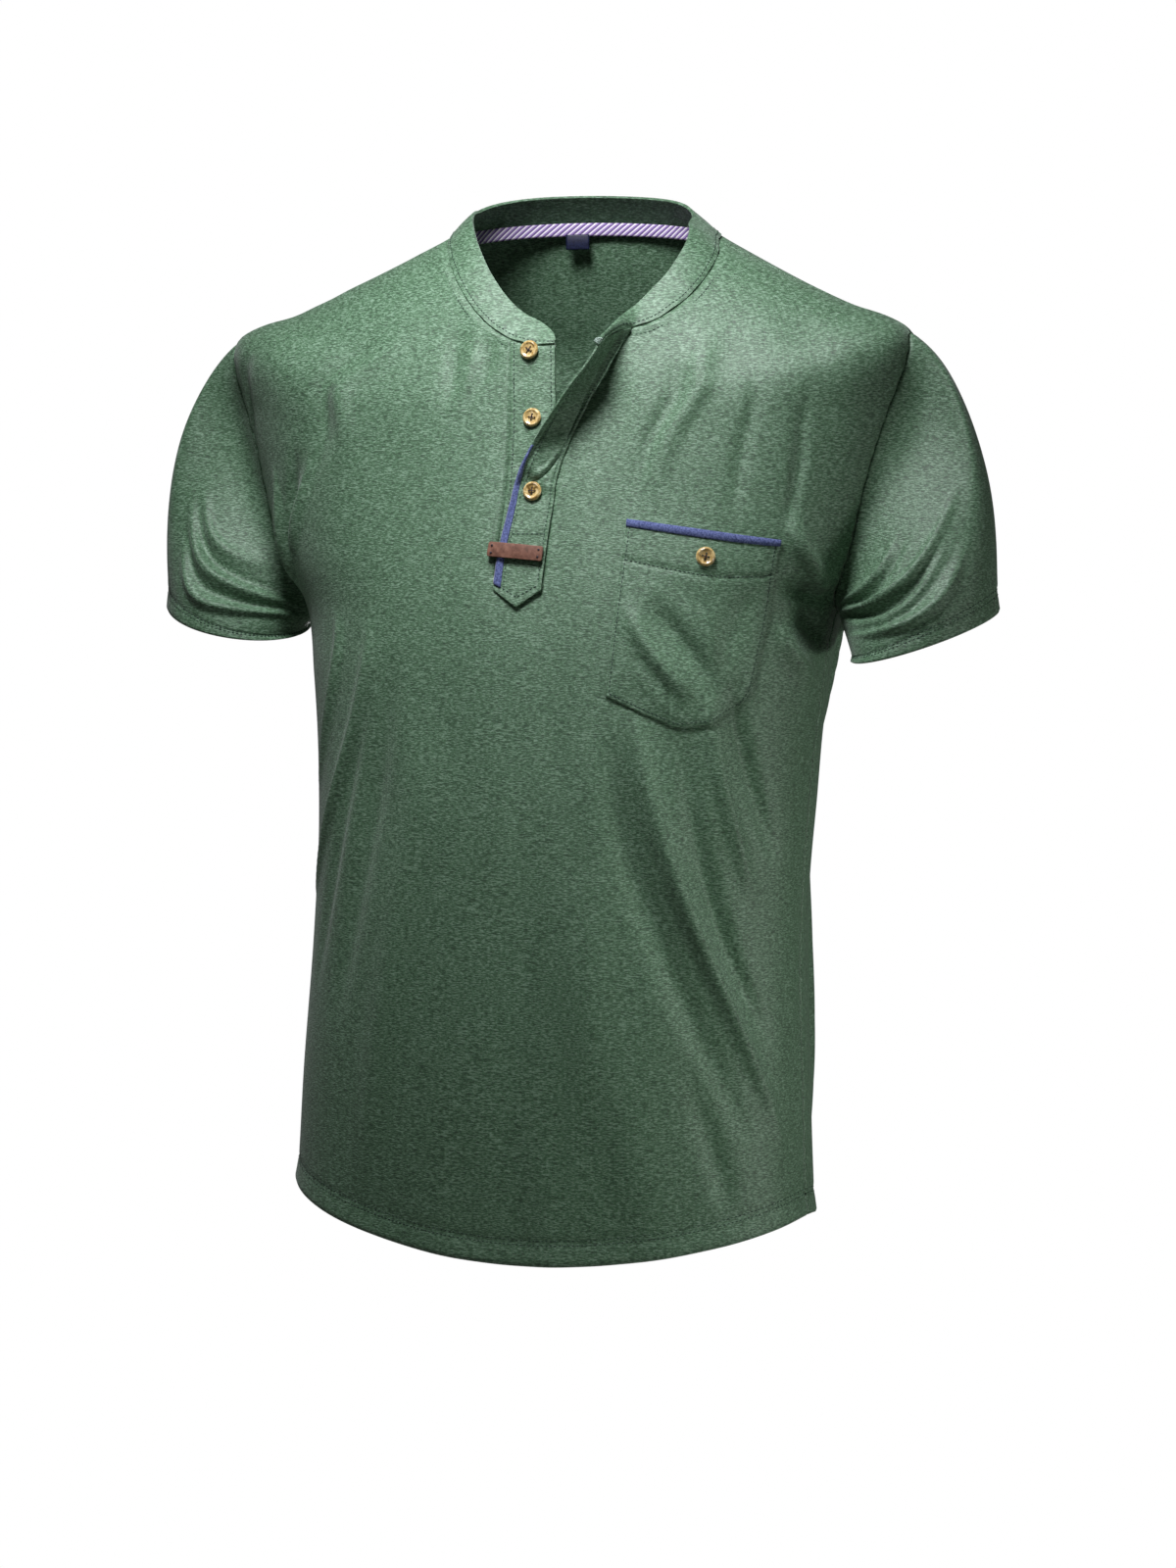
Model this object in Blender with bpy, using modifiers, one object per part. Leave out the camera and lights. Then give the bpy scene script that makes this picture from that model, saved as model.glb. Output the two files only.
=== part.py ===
"""Short-sleeved pocket t-shirt with a band collar and a buttoned placket, worn shape, no wearer.

Metres, +Z up. The wearer faces -Y and their left is +X. The origin is the middle of the neck base,
level with the tops of the shoulder seams at the neck.
"""
import bpy
import bmesh
from math import sin, cos, asin, exp, pi, radians, sqrt
from mathutils import Quaternion, Vector

# ---------------------------------------------------------------- driving sizes
wall = 0.0014             # knit panel
hem_extra = 0.0007        # a turned hem is thicker by this on the inside
gap = 0.0003              # between neighbouring pieces at a seam
hem_height = 0.021
cuff_height = 0.016
band_height = 0.0228      # collar band
band_wall = 0.0022
slit_half = 0.0168        # half of the slit that the placket covers
stand_width = 0.0318
placket_wall = 0.0015
button_radius = 0.0061
button_height = 0.0024
tape_height = 0.0092
pit_t, tip_t = 0.680, 0.900     # the armhole runs between these levels of the form
front_cut, back_cut = 17.0, 25.0  # degrees that the armhole bites out of each panel

# ---------------------------------------------------------------- the form: one row a level round the body
# level 0 is the hem and level 1 the neck seam; angle 0 is the front, 90 the wearer's left
ring_columns = ("name", "t", "half_width", "front_y", "back_y", "side_y", "middle_x",
                "front_z", "side_z", "back_z", "fullness", "drop")     # drop: wearer's left side hangs lower
ring_rows = (
    ("hem",      0.000, 0.1810, -0.1480, 0.0780, -0.0350, -0.0073, -0.6825, -0.6485, -0.6920, 0.045, 0.0085),
    ("hip",      0.140, 0.1775, -0.1470, 0.0800, -0.0330, -0.0068, -0.5900, -0.5700, -0.5950, 0.045, 0.0055),
    ("waist",    0.330, 0.1722, -0.1440, 0.0800, -0.0300, -0.0044, -0.4780, -0.4680, -0.4780, 0.045, 0.0025),
    ("ribs",     0.500, 0.1727, -0.1400, 0.0890, -0.0250, -0.0012, -0.3780, -0.3750, -0.3750, 0.045, 0.0),
    ("chest",    0.620, 0.1804, -0.1340, 0.0980, -0.0180, -0.0008, -0.2950, -0.2950, -0.2920, 0.045, 0.0),
    ("pit",      0.680, 0.1885, -0.1285, 0.1020, -0.0110, -0.0010, -0.2530, -0.2520, -0.2480, 0.040, 0.0),
    ("armhole",  0.740, 0.2115, -0.1205, 0.1040, -0.0080, -0.0020, -0.2150, -0.2120, -0.2020, 0.030, 0.0),
    ("armhole",  0.800, 0.2260, -0.1125, 0.1040, -0.0080, -0.0030, -0.1800, -0.1640, -0.1530, 0.020, 0.0),
    ("armhole",  0.855, 0.2370, -0.1060, 0.0990, -0.0100, -0.0045, -0.1480, -0.1150, -0.1080, 0.010, 0.0),
    ("tip",      0.900, 0.2425, -0.1010, 0.0920, -0.0120, -0.0060, -0.1220, -0.0670, -0.0740, 0.000, 0.0010),
    ("shoulder", 0.940, 0.1940, -0.0980, 0.0820, -0.0080, -0.0020, -0.1040, -0.0468, -0.0450, 0.000, 0.0018),
    ("shoulder", 0.975, 0.1440, -0.0950, 0.0730, -0.0040, 0.0020, -0.0890, -0.0238, -0.0150, 0.000, 0.0028),
    ("neck",     1.000, 0.0943, -0.0930, 0.0660, 0.0000, 0.0037, -0.0770, 0.0000, 0.0143, 0.000, 0.0035),
)
rings = [dict(zip(ring_columns, row)) for row in ring_rows]

# the wearer's left of the neck seam lies pulled open: where it runs instead, by angle from the slit
neck_columns = ("angle", "x", "y", "z")
neck_rows = (
    (10.4, 0.0690, -0.0800, -0.0645),
    (20.0, 0.0785, -0.0770, -0.0615),
    (30.0, 0.0880, -0.0705, -0.0550),
    (42.0, 0.0985, -0.0585, -0.0440),
    (54.0, 0.1045, -0.0450, -0.0320),
    (66.0, 0.1065, -0.0290, -0.0195),
    (78.0, 0.1035, -0.0130, -0.0100),
    (90.0, 0.0980, 0.0000, -0.0035),
)
neck_open = [dict(zip(neck_columns, row)) for row in neck_rows]

# the placket's centre line, from the hem to the neck
line_rows = ((-0.690, 0.0000), (-0.300, 0.0000), (-0.250, 0.0000), (-0.210, 0.0015),
             (-0.174, 0.0042), (-0.125, 0.0036), (-0.100, 0.0016), (-0.070, -0.0006))
placket_line = [{"z": z, "x": x} for z, x in line_rows]


def smooth(rows, key, column, at):
    """Catmull-Rom value of one named column of a table."""
    keys = [row[key] for row in rows]
    values = [row[column] for row in rows]
    if at <= keys[0]:
        return values[0]
    if at >= keys[-1]:
        return values[-1]
    k = next(n for n in range(len(keys) - 1) if keys[n + 1] >= at)

    def slope(n):
        low, high = max(n - 1, 0), min(n + 1, len(keys) - 1)
        return (values[high] - values[low]) / (keys[high] - keys[low])

    span = keys[k + 1] - keys[k]
    s = (at - keys[k]) / span
    return (values[k] * (2 * s**3 - 3 * s**2 + 1) + values[k + 1] * (3 * s**2 - 2 * s**3)
            + span * (slope(k) * (s**3 - 2 * s**2 + s) + slope(k + 1) * (s**3 - s**2)))


def ease(x):
    x = min(max(x, 0.0), 1.0)
    return x * x * (3 - 2 * x)


def fine_ring(t):
    """One level of the form, with the angles of the slit's two edges and how far the neck is pulled open."""
    r = {c: smooth(rings, "t", c, t) for c in ring_columns[2:]}
    middle = smooth(placket_line, "z", "x", r["front_z"]) - r["middle_x"]
    r["slit_right"] = asin((middle - slit_half) / r["half_width"]) * 180 / pi
    r["slit_left"] = asin((middle + slit_half) / r["half_width"]) * 180 / pi
    r["pull"] = min(max(0.0, (r["front_z"] + 0.170) / 0.093) ** 1.5, 1.0)
    return r


ring_steps = 1500
ring_fine = [tuple(fine_ring(n / ring_steps).values()) for n in range(ring_steps + 1)]
ring_names = tuple(fine_ring(0.5))


def ring(t):
    """All columns of the form at level t."""
    at = min(max(t, 0.0), 1.0) * ring_steps
    n = min(int(at), ring_steps - 1)
    part = at - n
    return dict(zip(ring_names, [a + (b - a) * part for a, b in zip(ring_fine[n], ring_fine[n + 1])]))


def closed_form(angle, t, r=None):
    """The symmetric worn shape, neck opening closed."""
    r = r or ring(t)
    s, c = sin(radians(angle)), cos(radians(angle))
    full = 1 + r["fullness"] * (2 * s * c) ** 2
    depth = r["side_y"] - r["front_y"] if c > 0 else r["back_y"] - r["side_y"]
    end_z = r["front_z"] if c > 0 else r["back_z"]
    rise = c * c if c > 0 or t < 0.9 else abs(c) ** (2 - ease((t - 0.9) / 0.1))
    return Vector((r["middle_x"] + r["half_width"] * s * full, r["side_y"] - c * depth * full,
                   r["side_z"] + (end_z - r["side_z"]) * rise - r["drop"] * s))


open_steps = 320
open_fine = []
for n in range(open_steps + 1):
    at = neck_rows[0][0] + (90 - neck_rows[0][0]) * n / open_steps
    open_fine.append(Vector([smooth(neck_open, "angle", c, at) for c in "xyz"]) - closed_form(at, 1.0))


def opened(angle, r):
    """How far the pulled-open neck moves a point of the wearer's left front."""
    first = r["slit_left"]
    if r["pull"] <= 0 or angle >= 90 or angle < first - 1e-3:
        return Vector()
    at = (angle - first) / (90 - first) * open_steps
    n = min(max(int(at), 0), open_steps - 1)
    return open_fine[n].lerp(open_fine[n + 1], at - n) * r["pull"]


def form(angle, t):
    r = ring(t)
    return closed_form(angle, t, r) + opened(angle, r)


def normal(angle, t, shape=None):
    shape = shape or form
    low, high = max(t - 0.004, 0.0), min(t + 0.004, 1.0)
    step = 0.6
    a0, a1 = angle - step, angle + step
    if shape is form and 0 < angle < 90:
        a0 = max(a0, ring(t)["slit_left"])
        a1 = max(a1, a0 + step)
    if shape is form and a0 > 0:
        a1 = max(a1, a0 + 3.0)
    across = shape(a1, t) - shape(a0, t)
    up = shape(angle, high) - shape(angle, low)
    return across.cross(up).normalized()


# ---------------------------------------------------------------- folds: soft ridges (+) and troughs (-)
# each runs through three (angle, z) points; width and height in metres
fold_columns = ("a0", "z0", "a1", "z1", "a2", "z2", "width", "height")
fold_rows = (
    # front, wearer's right
    (-70.0, -0.160, -66.0, -0.205, -63.0, -0.245, 0.011, 0.0045),
    (-58.0, -0.175, -60.0, -0.215, -66.0, -0.262, 0.009, -0.0035),
    (-38.0, -0.070, -50.0, -0.115, -60.0, -0.165, 0.012, -0.0035),
    (-66.0, -0.275, -62.0, -0.320, -64.0, -0.365, 0.011, 0.0040),
    (-47.0, -0.300, -53.0, -0.400, -60.0, -0.520, 0.018, 0.0045),
    (-30.0, -0.300, -38.0, -0.420, -44.0, -0.560, 0.022, -0.0030),
    (-14.0, -0.400, -20.0, -0.500, -22.0, -0.620, 0.026, 0.0028),
    (-20.0, -0.085, -27.0, -0.115, -30.0, -0.150, 0.007, -0.0028),
    # front, wearer's left
    (46.0, -0.330, 50.0, -0.430, 60.0, -0.560, 0.012, 0.0055),
    (58.0, -0.325, 62.0, -0.400, 66.0, -0.460, 0.011, 0.0045),
    (40.0, -0.380, 45.0, -0.470, 54.0, -0.600, 0.013, -0.0040),
    (16.0, -0.420, 20.0, -0.520, 30.0, -0.640, 0.024, 0.0030),
    (56.0, -0.500, 64.0, -0.570, 70.0, -0.620, 0.014, 0.0035),
    (62.0, -0.205, 70.0, -0.232, 74.0, -0.262, 0.009, 0.0060),
    (66.0, -0.262, 72.0, -0.275, 80.0, -0.290, 0.008, -0.0050),
    (40.0, -0.075, 42.0, -0.115, 40.0, -0.165, 0.012, 0.0025),
    # back
    (110.0, -0.180, 120.0, -0.260, 128.0, -0.360, 0.014, 0.0045),
    (-112.0, -0.180, -121.0, -0.265, -126.0, -0.370, 0.014, 0.0045),
    (142.0, -0.330, 150.0, -0.450, 146.0, -0.600, 0.020, 0.0045),
    (-140.0, -0.350, -148.0, -0.470, -150.0, -0.620, 0.020, 0.0050),
    (176.0, -0.300, 170.0, -0.450, 178.0, -0.630, 0.024, -0.0040),
    (118.0, -0.420, 114.0, -0.520, 120.0, -0.620, 0.014, 0.0040),
    (-116.0, -0.400, -112.0, -0.510, -117.0, -0.600, 0.014, 0.0040),
)
folds = [dict(zip(fold_columns, row)) for row in fold_rows]


def along_fold(f, s):
    a = f["a0"] * (1 - s) ** 2 + 2 * s * (1 - s) * (2 * f["a1"] - (f["a0"] + f["a2"]) / 2) + f["a2"] * s**2
    z = f["z0"] * (1 - s) ** 2 + 2 * s * (1 - s) * (2 * f["z1"] - (f["z0"] + f["z2"]) / 2) + f["z2"] * s**2
    return a, z


for f in folds:
    f["line"] = [along_fold(f, s / 12) for s in range(13)]
    reach = 2.6 * f["width"]
    angles = [a for a, z in f["line"]]
    heights = [z for a, z in f["line"]]
    f["box"] = (min(angles) - reach / 0.0030, max(angles) + reach / 0.0030,
                min(heights) - reach, max(heights) + reach)


def relief(angle, z, half_width):
    """Height of the folds over the form at an angle and a height."""
    scale = radians(1) * half_width
    total = 0.0
    for f in folds:
        box = f["box"]
        if not (box[0] < angle < box[1] and box[2] < z < box[3]):
            continue
        best, place = 1e9, 0
        for n, (a, zz) in enumerate(f["line"]):
            d = ((angle - a) * scale) ** 2 + (z - zz) ** 2
            if d < best:
                best, place = d, n
        taper = sin(pi * (place + 1) / 14) ** 0.7
        total += f["height"] * taper * exp(-best / f["width"] ** 2)
    return total


def body(angle, t, out=0.0):
    """Point of the shirt's outer face, moved out along the form's normal."""
    p = form(angle, t)
    soft = min(1.0, (1 - t) / 0.06)
    lift = soft * relief(angle, p.z, ring(t)["half_width"])
    return p + normal(angle, t) * (lift + out)


def level_at(z, angle, near=0.8, tries=9, shape=None):
    """Level of the form's point at a given height on one angle."""
    shape = shape or form
    t = near
    for _ in range(tries):
        step = -0.002 if t > 0.99 else 0.002
        here = shape(angle, t).z
        slope = (shape(angle, t + step).z - here) / step
        t = min(max(t + (z - here) / slope, 0.0), 1.0)
    return t


def front_at(x, z):
    """Angle and level of the front's point at a given x and z."""
    angle = degrees_of(x / 0.19)
    t = level_at(z, angle)
    for _ in range(5):
        error = form(angle, t).x - x
        run = form(angle + 0.5, t).x - form(angle, t).x
        angle = max(-86.0, min(86.0, angle - 0.5 * error / run))
        t = level_at(z, angle, t, 2)
    return angle, t


def degrees_of(sine):
    return asin(max(-0.99, min(0.99, sine))) * 180 / pi


def on_front(x, z, out):
    angle, t = front_at(x, z)
    return body(angle, t, out)


# ---------------------------------------------------------------- mesh and material helpers
def clear_scene():
    for o in list(bpy.data.objects):
        bpy.data.objects.remove(o, do_unlink=True)
    for c in list(bpy.data.collections):
        bpy.data.collections.remove(c)


def paint(name, colour, roughness, metallic=0.0):
    m = bpy.data.materials.new(name)
    m.use_nodes = True
    shader = m.node_tree.nodes["Principled BSDF"]
    shader.inputs["Base Color"].default_value = (*colour, 1)
    shader.inputs["Roughness"].default_value = roughness
    shader.inputs["Metallic"].default_value = metallic
    m.diffuse_color = (*colour, 1)
    return m


def finish(bm, name, material):
    bmesh.ops.recalc_face_normals(bm, faces=bm.faces)
    if bm.calc_volume(signed=True) < 0:
        bmesh.ops.reverse_faces(bm, faces=bm.faces)
    mesh = bpy.data.meshes.new(name)
    bm.to_mesh(mesh)
    bm.free()
    o = bpy.data.objects.new(name, mesh)
    o.data.materials.append(material)
    shirt.objects.link(o)
    return o


def cloth(name, across, along, place, material, tube=False, leave_out=None):
    """A closed wall: a grid, extruded once, whose two layers place(i, j, inside) puts where they belong."""
    bm = bmesh.new()
    bmesh.ops.create_grid(bm, x_segments=across, y_segments=along, size=0.5)
    column = bm.verts.layers.int.new("column")
    row = bm.verts.layers.int.new("row")
    for v in bm.verts:
        v[column] = round((v.co.x + 0.5) * across)
        v[row] = round((v.co.y + 0.5) * along)
    if leave_out:
        gone = [f for f in bm.faces
                if leave_out(min(v[column] for v in f.verts), min(v[row] for v in f.verts))]
        bmesh.ops.delete(bm, geom=gone, context="FACES")
    if tube:
        for v in bm.verts:
            turn = 2 * pi * v[column] / across
            v.co = (cos(turn), sin(turn), v[row])
        bmesh.ops.remove_doubles(bm, verts=bm.verts, dist=1e-4)
    made = bmesh.ops.extrude_face_region(bm, geom=bm.faces[:])
    inner = {v for v in made["geom"] if isinstance(v, bmesh.types.BMVert)}
    for v in bm.verts:
        v.co = place(v[column], v[row], v in inner)
    return finish(bm, name, material)


def strip(name, across, along, middle, thickness, material):
    """A cloth wall on both sides of a middle surface middle(u, v), u and v from 0 to 1."""
    def place(i, j, inside):
        u, v = i / across, j / along
        du, dv = 0.5 / across, 0.5 / along
        p = middle(u, v)
        run = middle(min(u + du, 1), v) - middle(max(u - du, 0), v)
        rise = middle(u, min(v + dv, 1)) - middle(u, max(v - dv, 0))
        side = run.cross(rise).normalized()
        half = thickness(u, v) / 2 if callable(thickness) else thickness / 2
        return p + side * (-half if inside else half)
    return cloth(name, across, along, place, material)


# ---------------------------------------------------------------- panels
arm_steps = 12
arm_middle, arm_half = (pit_t + tip_t) / 2, (tip_t - pit_t) / 2
levels = ([0.0, 0.035, 0.07] + [0.07 + (pit_t - 0.07) * n / 13 for n in range(1, 13)]
          + [arm_middle - arm_half * cos(pi * n / arm_steps) for n in range(arm_steps + 1)]
          + [0.92, 0.94, 0.96, 0.98, 1.0])


def bite(t, cut):
    s = (t - arm_middle) / arm_half
    return cut * sqrt(max(0.0, 1 - s * s))


def panel_wall(t, angle):
    """Thickness of a body panel: the turned hem is a little thicker."""
    above = closed_form(angle, t).z - closed_form(angle, 0.0).z
    return wall + hem_extra * (1 - ease((above - hem_height) / 0.004))


def wall_point(angle, t, inside):
    return body(angle, t, -panel_wall(t, angle) if inside else 0.0)


side_columns, middle_columns = 15, 2
front_columns = 2 * side_columns + middle_columns
slit_row = next(n for n, t in enumerate(levels) if t > 0.705)


def front_angle(i, j):
    t = levels[j]
    edge = 90 - bite(t, front_cut) - seam_angle(t)
    r = ring(t)
    right, left = r["slit_right"], r["slit_left"]
    if i <= side_columns:
        return -edge + (edge + right) * i / side_columns
    if i >= side_columns + middle_columns:
        return left + (edge - left) * (i - side_columns - middle_columns) / side_columns
    return right + (left - right) * (i - side_columns) / middle_columns


def seam_angle(t):
    return gap / 2 / ring(t)["half_width"] * 180 / pi


def front_place(i, j, inside):
    return wall_point(front_angle(i, j), levels[j], inside)


back_columns = 28


def back_angle(i, j):
    t = levels[j]
    edge = 90 + bite(t, back_cut) + seam_angle(t)
    return edge + (360 - 2 * edge) * i / back_columns


def back_place(i, j, inside):
    angle = back_angle(i, j)
    return wall_point(angle if angle <= 180 else angle - 360, levels[j], inside)


# ---------------------------------------------------------------- sleeves
sleeve_columns = ("side", "cuff_x", "cuff_y", "cuff_z", "half_out", "half_front", "tilt_out", "tilt_front")
sleeve_rows = (
    (-1, -0.2515, -0.0120, -0.2580, 0.0490, 0.0605, 15.0, 11.0),
    (1, 0.2475, -0.0120, -0.2690, 0.0490, 0.0605, 16.0, 11.0),
)
sleeve_table = [dict(zip(sleeve_columns, row)) for row in sleeve_rows]
# folds across a sleeve: turn 0 is over the shoulder, 90 the front, 180 under the arm; s from armhole to cuff
crease_columns = ("side", "turn0", "s0", "turn1", "s1", "turn2", "s2", "width", "height")
crease_rows = (
    (1, 150.0, 0.35, 112.0, 0.62, 72.0, 0.46, 0.0075, 0.0065),
    (1, 152.0, 0.62, 118.0, 0.80, 62.0, 0.66, 0.0085, 0.0050),
    (1, 140.0, 0.30, 112.0, 0.46, 88.0, 0.36, 0.0065, 0.0035),
    (1, 150.0, 0.50, 116.0, 0.72, 70.0, 0.57, 0.0070, -0.0045),
    (-1, 30.0, 0.52, 62.0, 0.66, 120.0, 0.78, 0.0120, 0.0050),
    (-1, 60.0, 0.70, 88.0, 0.80, 130.0, 0.86, 0.0090, 0.0035),
    (-1, 34.0, 0.66, 66.0, 0.78, 100.0, 0.88, 0.0100, -0.0035),
    (1, 215.0, 0.45, 250.0, 0.66, 300.0, 0.55, 0.0100, 0.0050),
    (-1, 212.0, 0.45, 248.0, 0.68, 305.0, 0.58, 0.0100, 0.0050),
)
creases = [dict(zip(crease_columns, row)) for row in crease_rows]


def armhole(side, turn, out=0.0):
    t = arm_middle + arm_half * cos(radians(turn))
    cut = sin(radians(turn)) * (front_cut if sin(radians(turn)) > 0 else back_cut)
    return body(side * (90 - cut), t, out)


def armhole_normal(side, turn):
    t = arm_middle + arm_half * cos(radians(turn))
    cut = sin(radians(turn)) * (front_cut if sin(radians(turn)) > 0 else back_cut)
    return normal(side * (90 - cut), t)


sleeve_cache = {}


def sleeve_frame(r, turn):
    """Start point, end point and their tangents for one line down a sleeve."""
    key = (r["side"], round(turn, 5))
    if key in sleeve_cache:
        return sleeve_cache[key]
    side = r["side"]
    out = Vector((side * cos(radians(r["tilt_out"])), 0, sin(radians(r["tilt_out"]))))
    front = Vector((0, -cos(radians(r["tilt_front"])), -sin(radians(r["tilt_front"]))))
    axis = out.cross(front)
    axis = (axis if axis.z < 0 else -axis).normalized()
    c, s = cos(radians(turn)), sin(radians(turn))
    end = (Vector((r["cuff_x"], r["cuff_y"], r["cuff_z"])) + out * (r["half_out"] * c)
           + front * (r["half_front"] * s))
    start = armhole(side, turn)
    n = armhole_normal(side, turn)
    tangent = armhole(side, turn + 2) - armhole(side, turn - 2)
    away = n.cross(tangent).normalized()
    centre = Vector((side * 0.22, 0.0, -0.16))
    if away.dot(start - centre) > 0:
        away = -away
    over = max(0.0, c) ** 3
    leave = (away * (1 - over) + Vector((side * 0.86, 0, -0.51)) * over).normalized()
    under = ease((abs(180 - abs(180 - turn % 360)) - 35) / 95)
    leave = (leave * (1 - under) + axis * under).normalized()
    reach = (end - start).length
    first = start + (leave * (1 - under) + n * under).normalized() * gap
    sleeve_cache[key] = first, end, leave * reach * 0.85, axis * reach * 1.05, n, under
    return sleeve_cache[key]


def crease_relief(side, turn, s, radius):
    total = 0.0
    for f in creases:
        if f["side"] != side:
            continue
        best, place = 1e9, 0
        for n in range(13):
            q = n / 12
            a = f["turn0"] * (1 - q) ** 2 + f["turn2"] * q**2 + 2 * q * (1 - q) * (
                2 * f["turn1"] - (f["turn0"] + f["turn2"]) / 2)
            b = f["s0"] * (1 - q) ** 2 + f["s2"] * q**2 + 2 * q * (1 - q) * (
                2 * f["s1"] - (f["s0"] + f["s2"]) / 2)
            d = (radians(turn - a) * radius) ** 2 + ((s - b) * 0.16) ** 2
            if d < best:
                best, place = d, n
        total += f["height"] * sin(pi * (place + 1) / 14) ** 0.7 * exp(-best / f["width"] ** 2)
    return total


def sleeve_line(r, turn, s):
    a, b, ta, tb, _, _ = sleeve_frame(r, turn)
    swell = 0.0105 * (1 + cos(radians(turn))) / 2 * sin(pi * s ** 1.7)
    return (a * (2 * s**3 - 3 * s**2 + 1) + ta * (s**3 - 2 * s**2 + s)
            + b * (3 * s**2 - 2 * s**3) + tb * (s**3 - s**2) + Vector((r["side"] * swell, 0, 0)))


def sleeve_normal(r, turn, s):
    low, high = max(s - 0.02, 0.0), min(s + 0.02, 1.0)
    across = sleeve_line(r, turn + 3, s) - sleeve_line(r, turn - 3, s)
    down = sleeve_line(r, turn, high) - sleeve_line(r, turn, low)
    n = across.cross(down).normalized() * r["side"]
    _, _, _, _, of_body, under = sleeve_frame(r, turn)
    share = (1 - under) * (1 - ease(s / 0.12))
    return (n * (1 - share) + of_body * share).normalized()


def sleeve_point(r, turn, s, out):
    lift = crease_relief(r["side"], turn, s, 0.06) * ease(s / 0.15) * ease((1 - s) / 0.10)
    return sleeve_line(r, turn, s) + sleeve_normal(r, turn, s) * (lift + out)


around, down_sleeve = 2 * arm_steps, 14


def sleeve(r, name, material):
    cuff_s = 1 - cuff_height / 0.17

    def place(i, j, inside):
        turn = 360 * i / around
        s = j / down_sleeve
        thick = wall + hem_extra * ease((s - cuff_s) / 0.02)
        return sleeve_point(r, turn, s, -thick if inside else 0.0)
    return cloth(name, around, down_sleeve, place, material, tube=True)


# ---------------------------------------------------------------- collar
right_end = 6.8
out_steps = 4


def collar_angles():
    """Angles along the band, in step with the panels' top edges, right front end first."""
    right = [right_end, -1.5] + [front_angle(i, len(levels) - 1) for i in range(side_columns, -1, -1)]
    back = [back_angle(i, len(levels) - 1) for i in range(back_columns, -1, -1)]
    left = [front_angle(i, len(levels) - 1) for i in range(front_columns, side_columns + middle_columns - 1, -1)]
    back = [a - 360 if a > 180 else a for a in back]
    return right + back[1:-1] + left


def lean(angle):
    """How far the band leans in over the neck, in degrees."""
    back = ease((abs(angle) - 95) / 60)
    return 46.0 * (1 - back) + 41.0 * back + 9.0 * exp(-((angle - 105) / 32) ** 2)


stations = collar_angles()


def collar_path(k):
    """Seam point and up direction of the band at station k."""
    if k < len(stations):
        angle = stations[k]
        p = form(angle, 1.0)
        before = form(stations[max(k - 1, 0)], 1.0)
        after = form(stations[min(k + 1, len(stations) - 1)], 1.0)
        along = (after - before).normalized()
        inward = Vector((0.0037 - p.x, -0.010 - p.y, 0)).normalized()
        turn = radians(lean(angle))
        up = Vector((0, 0, 1)) * cos(turn) + inward * sin(turn)
        up = (up - along * up.dot(along)).normalized()
        return p, up
    s = (k - len(stations) + 1) / out_steps
    p, up = collar_path(len(stations) - 1)
    q = placket_middle(s, 1.0) + Vector((0, 0, 0.0024))
    return q, (up * (1 - s) + Vector((0.10, 0.45, 0.88)) * s).normalized()


def band_length(k):
    """Height of the band at a station: full, and rounded off at both front ends."""
    last = len(stations) - 1 + out_steps
    first = (collar_path(k)[0] - collar_path(0)[0]).length if k < 9 else 1.0
    final = (collar_path(k)[0] - collar_path(last)[0]).length if k > last - 11 else 1.0
    rounded = sqrt(max(0.0, 1 - (1 - min(first / 0.030, 1.0)) ** 2))
    return 0.0032 + (band_height - 0.0032) * min(rounded, min(final / 0.060, 1.0))


def collar_middle(u, v):
    last = len(stations) - 1 + out_steps
    k = u * last
    low = min(int(k), last - 1)
    part = k - low
    (p0, up0), (p1, up1) = collar_path(low), collar_path(low + 1)
    p, up = p0.lerp(p1, part), up0.lerp(up1, part).normalized()
    length = band_length(low) * (1 - part) + band_length(low + 1) * part
    return p + up * (gap + 0.0004 + length * v)


# ---------------------------------------------------------------- button stand and placket
stand_low, stand_high = -0.2300, -0.0786


def closed_spot(x, z):
    """Point and normal of the closed form near the centre front."""
    angle, t = 0.0, 0.85
    for _ in range(3):
        t = level_at(z, angle, t, 5, closed_form)
        r = ring(t)
        angle = degrees_of((x - r["middle_x"]) / r["half_width"])
    return closed_form(angle, t), normal(angle, t, closed_form)


def stand_place(i, j, inside):
    z = stand_low + (stand_high - stand_low) * j / 14
    x = smooth(placket_line, "z", "x", z) - slit_half + gap + (stand_width - gap) * i / 4
    p, out = closed_spot(x, z)
    return p + out * (-0.0022 if inside else -0.0002)


# the placket from its point to the neck: height of its foot, and how far its free edge reaches from there
placket_columns = ("foot_z", "across", "out", "down")
placket_rows = (
    (-0.2385, 0.0335, 0.0000, 0.000),
    (-0.2150, 0.0325, 0.0000, 0.000),
    (-0.1900, 0.0305, 0.0000, 0.000),
    (-0.1740, 0.0285, 0.0010, 0.000),
    (-0.1590, 0.0255, 0.0050, 0.000),
    (-0.1440, 0.0225, 0.0100, 0.001),
    (-0.1320, 0.0195, 0.0160, 0.002),
    (-0.1190, 0.0155, 0.0225, 0.003),
    (-0.1040, 0.0125, 0.0280, 0.005),
    (-0.0840, 0.0105, 0.0325, 0.010),
    (-0.0668, 0.0108, 0.0340, 0.0125),
)
placket_table = [dict(zip(placket_columns, row), at=n / 10) for n, row in enumerate(placket_rows)]
placket_rise = 0.0017


def slit_foot(z):
    """Where the placket's foot meets the slit's left edge, and the way out there."""
    t = 0.8
    for _ in range(4):
        angle = ring(t)["slit_left"] + 0.3
        t = level_at(z, angle, t, 2)
    return form(angle, t), normal(angle + 1.0, t), form(angle, t).x


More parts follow.
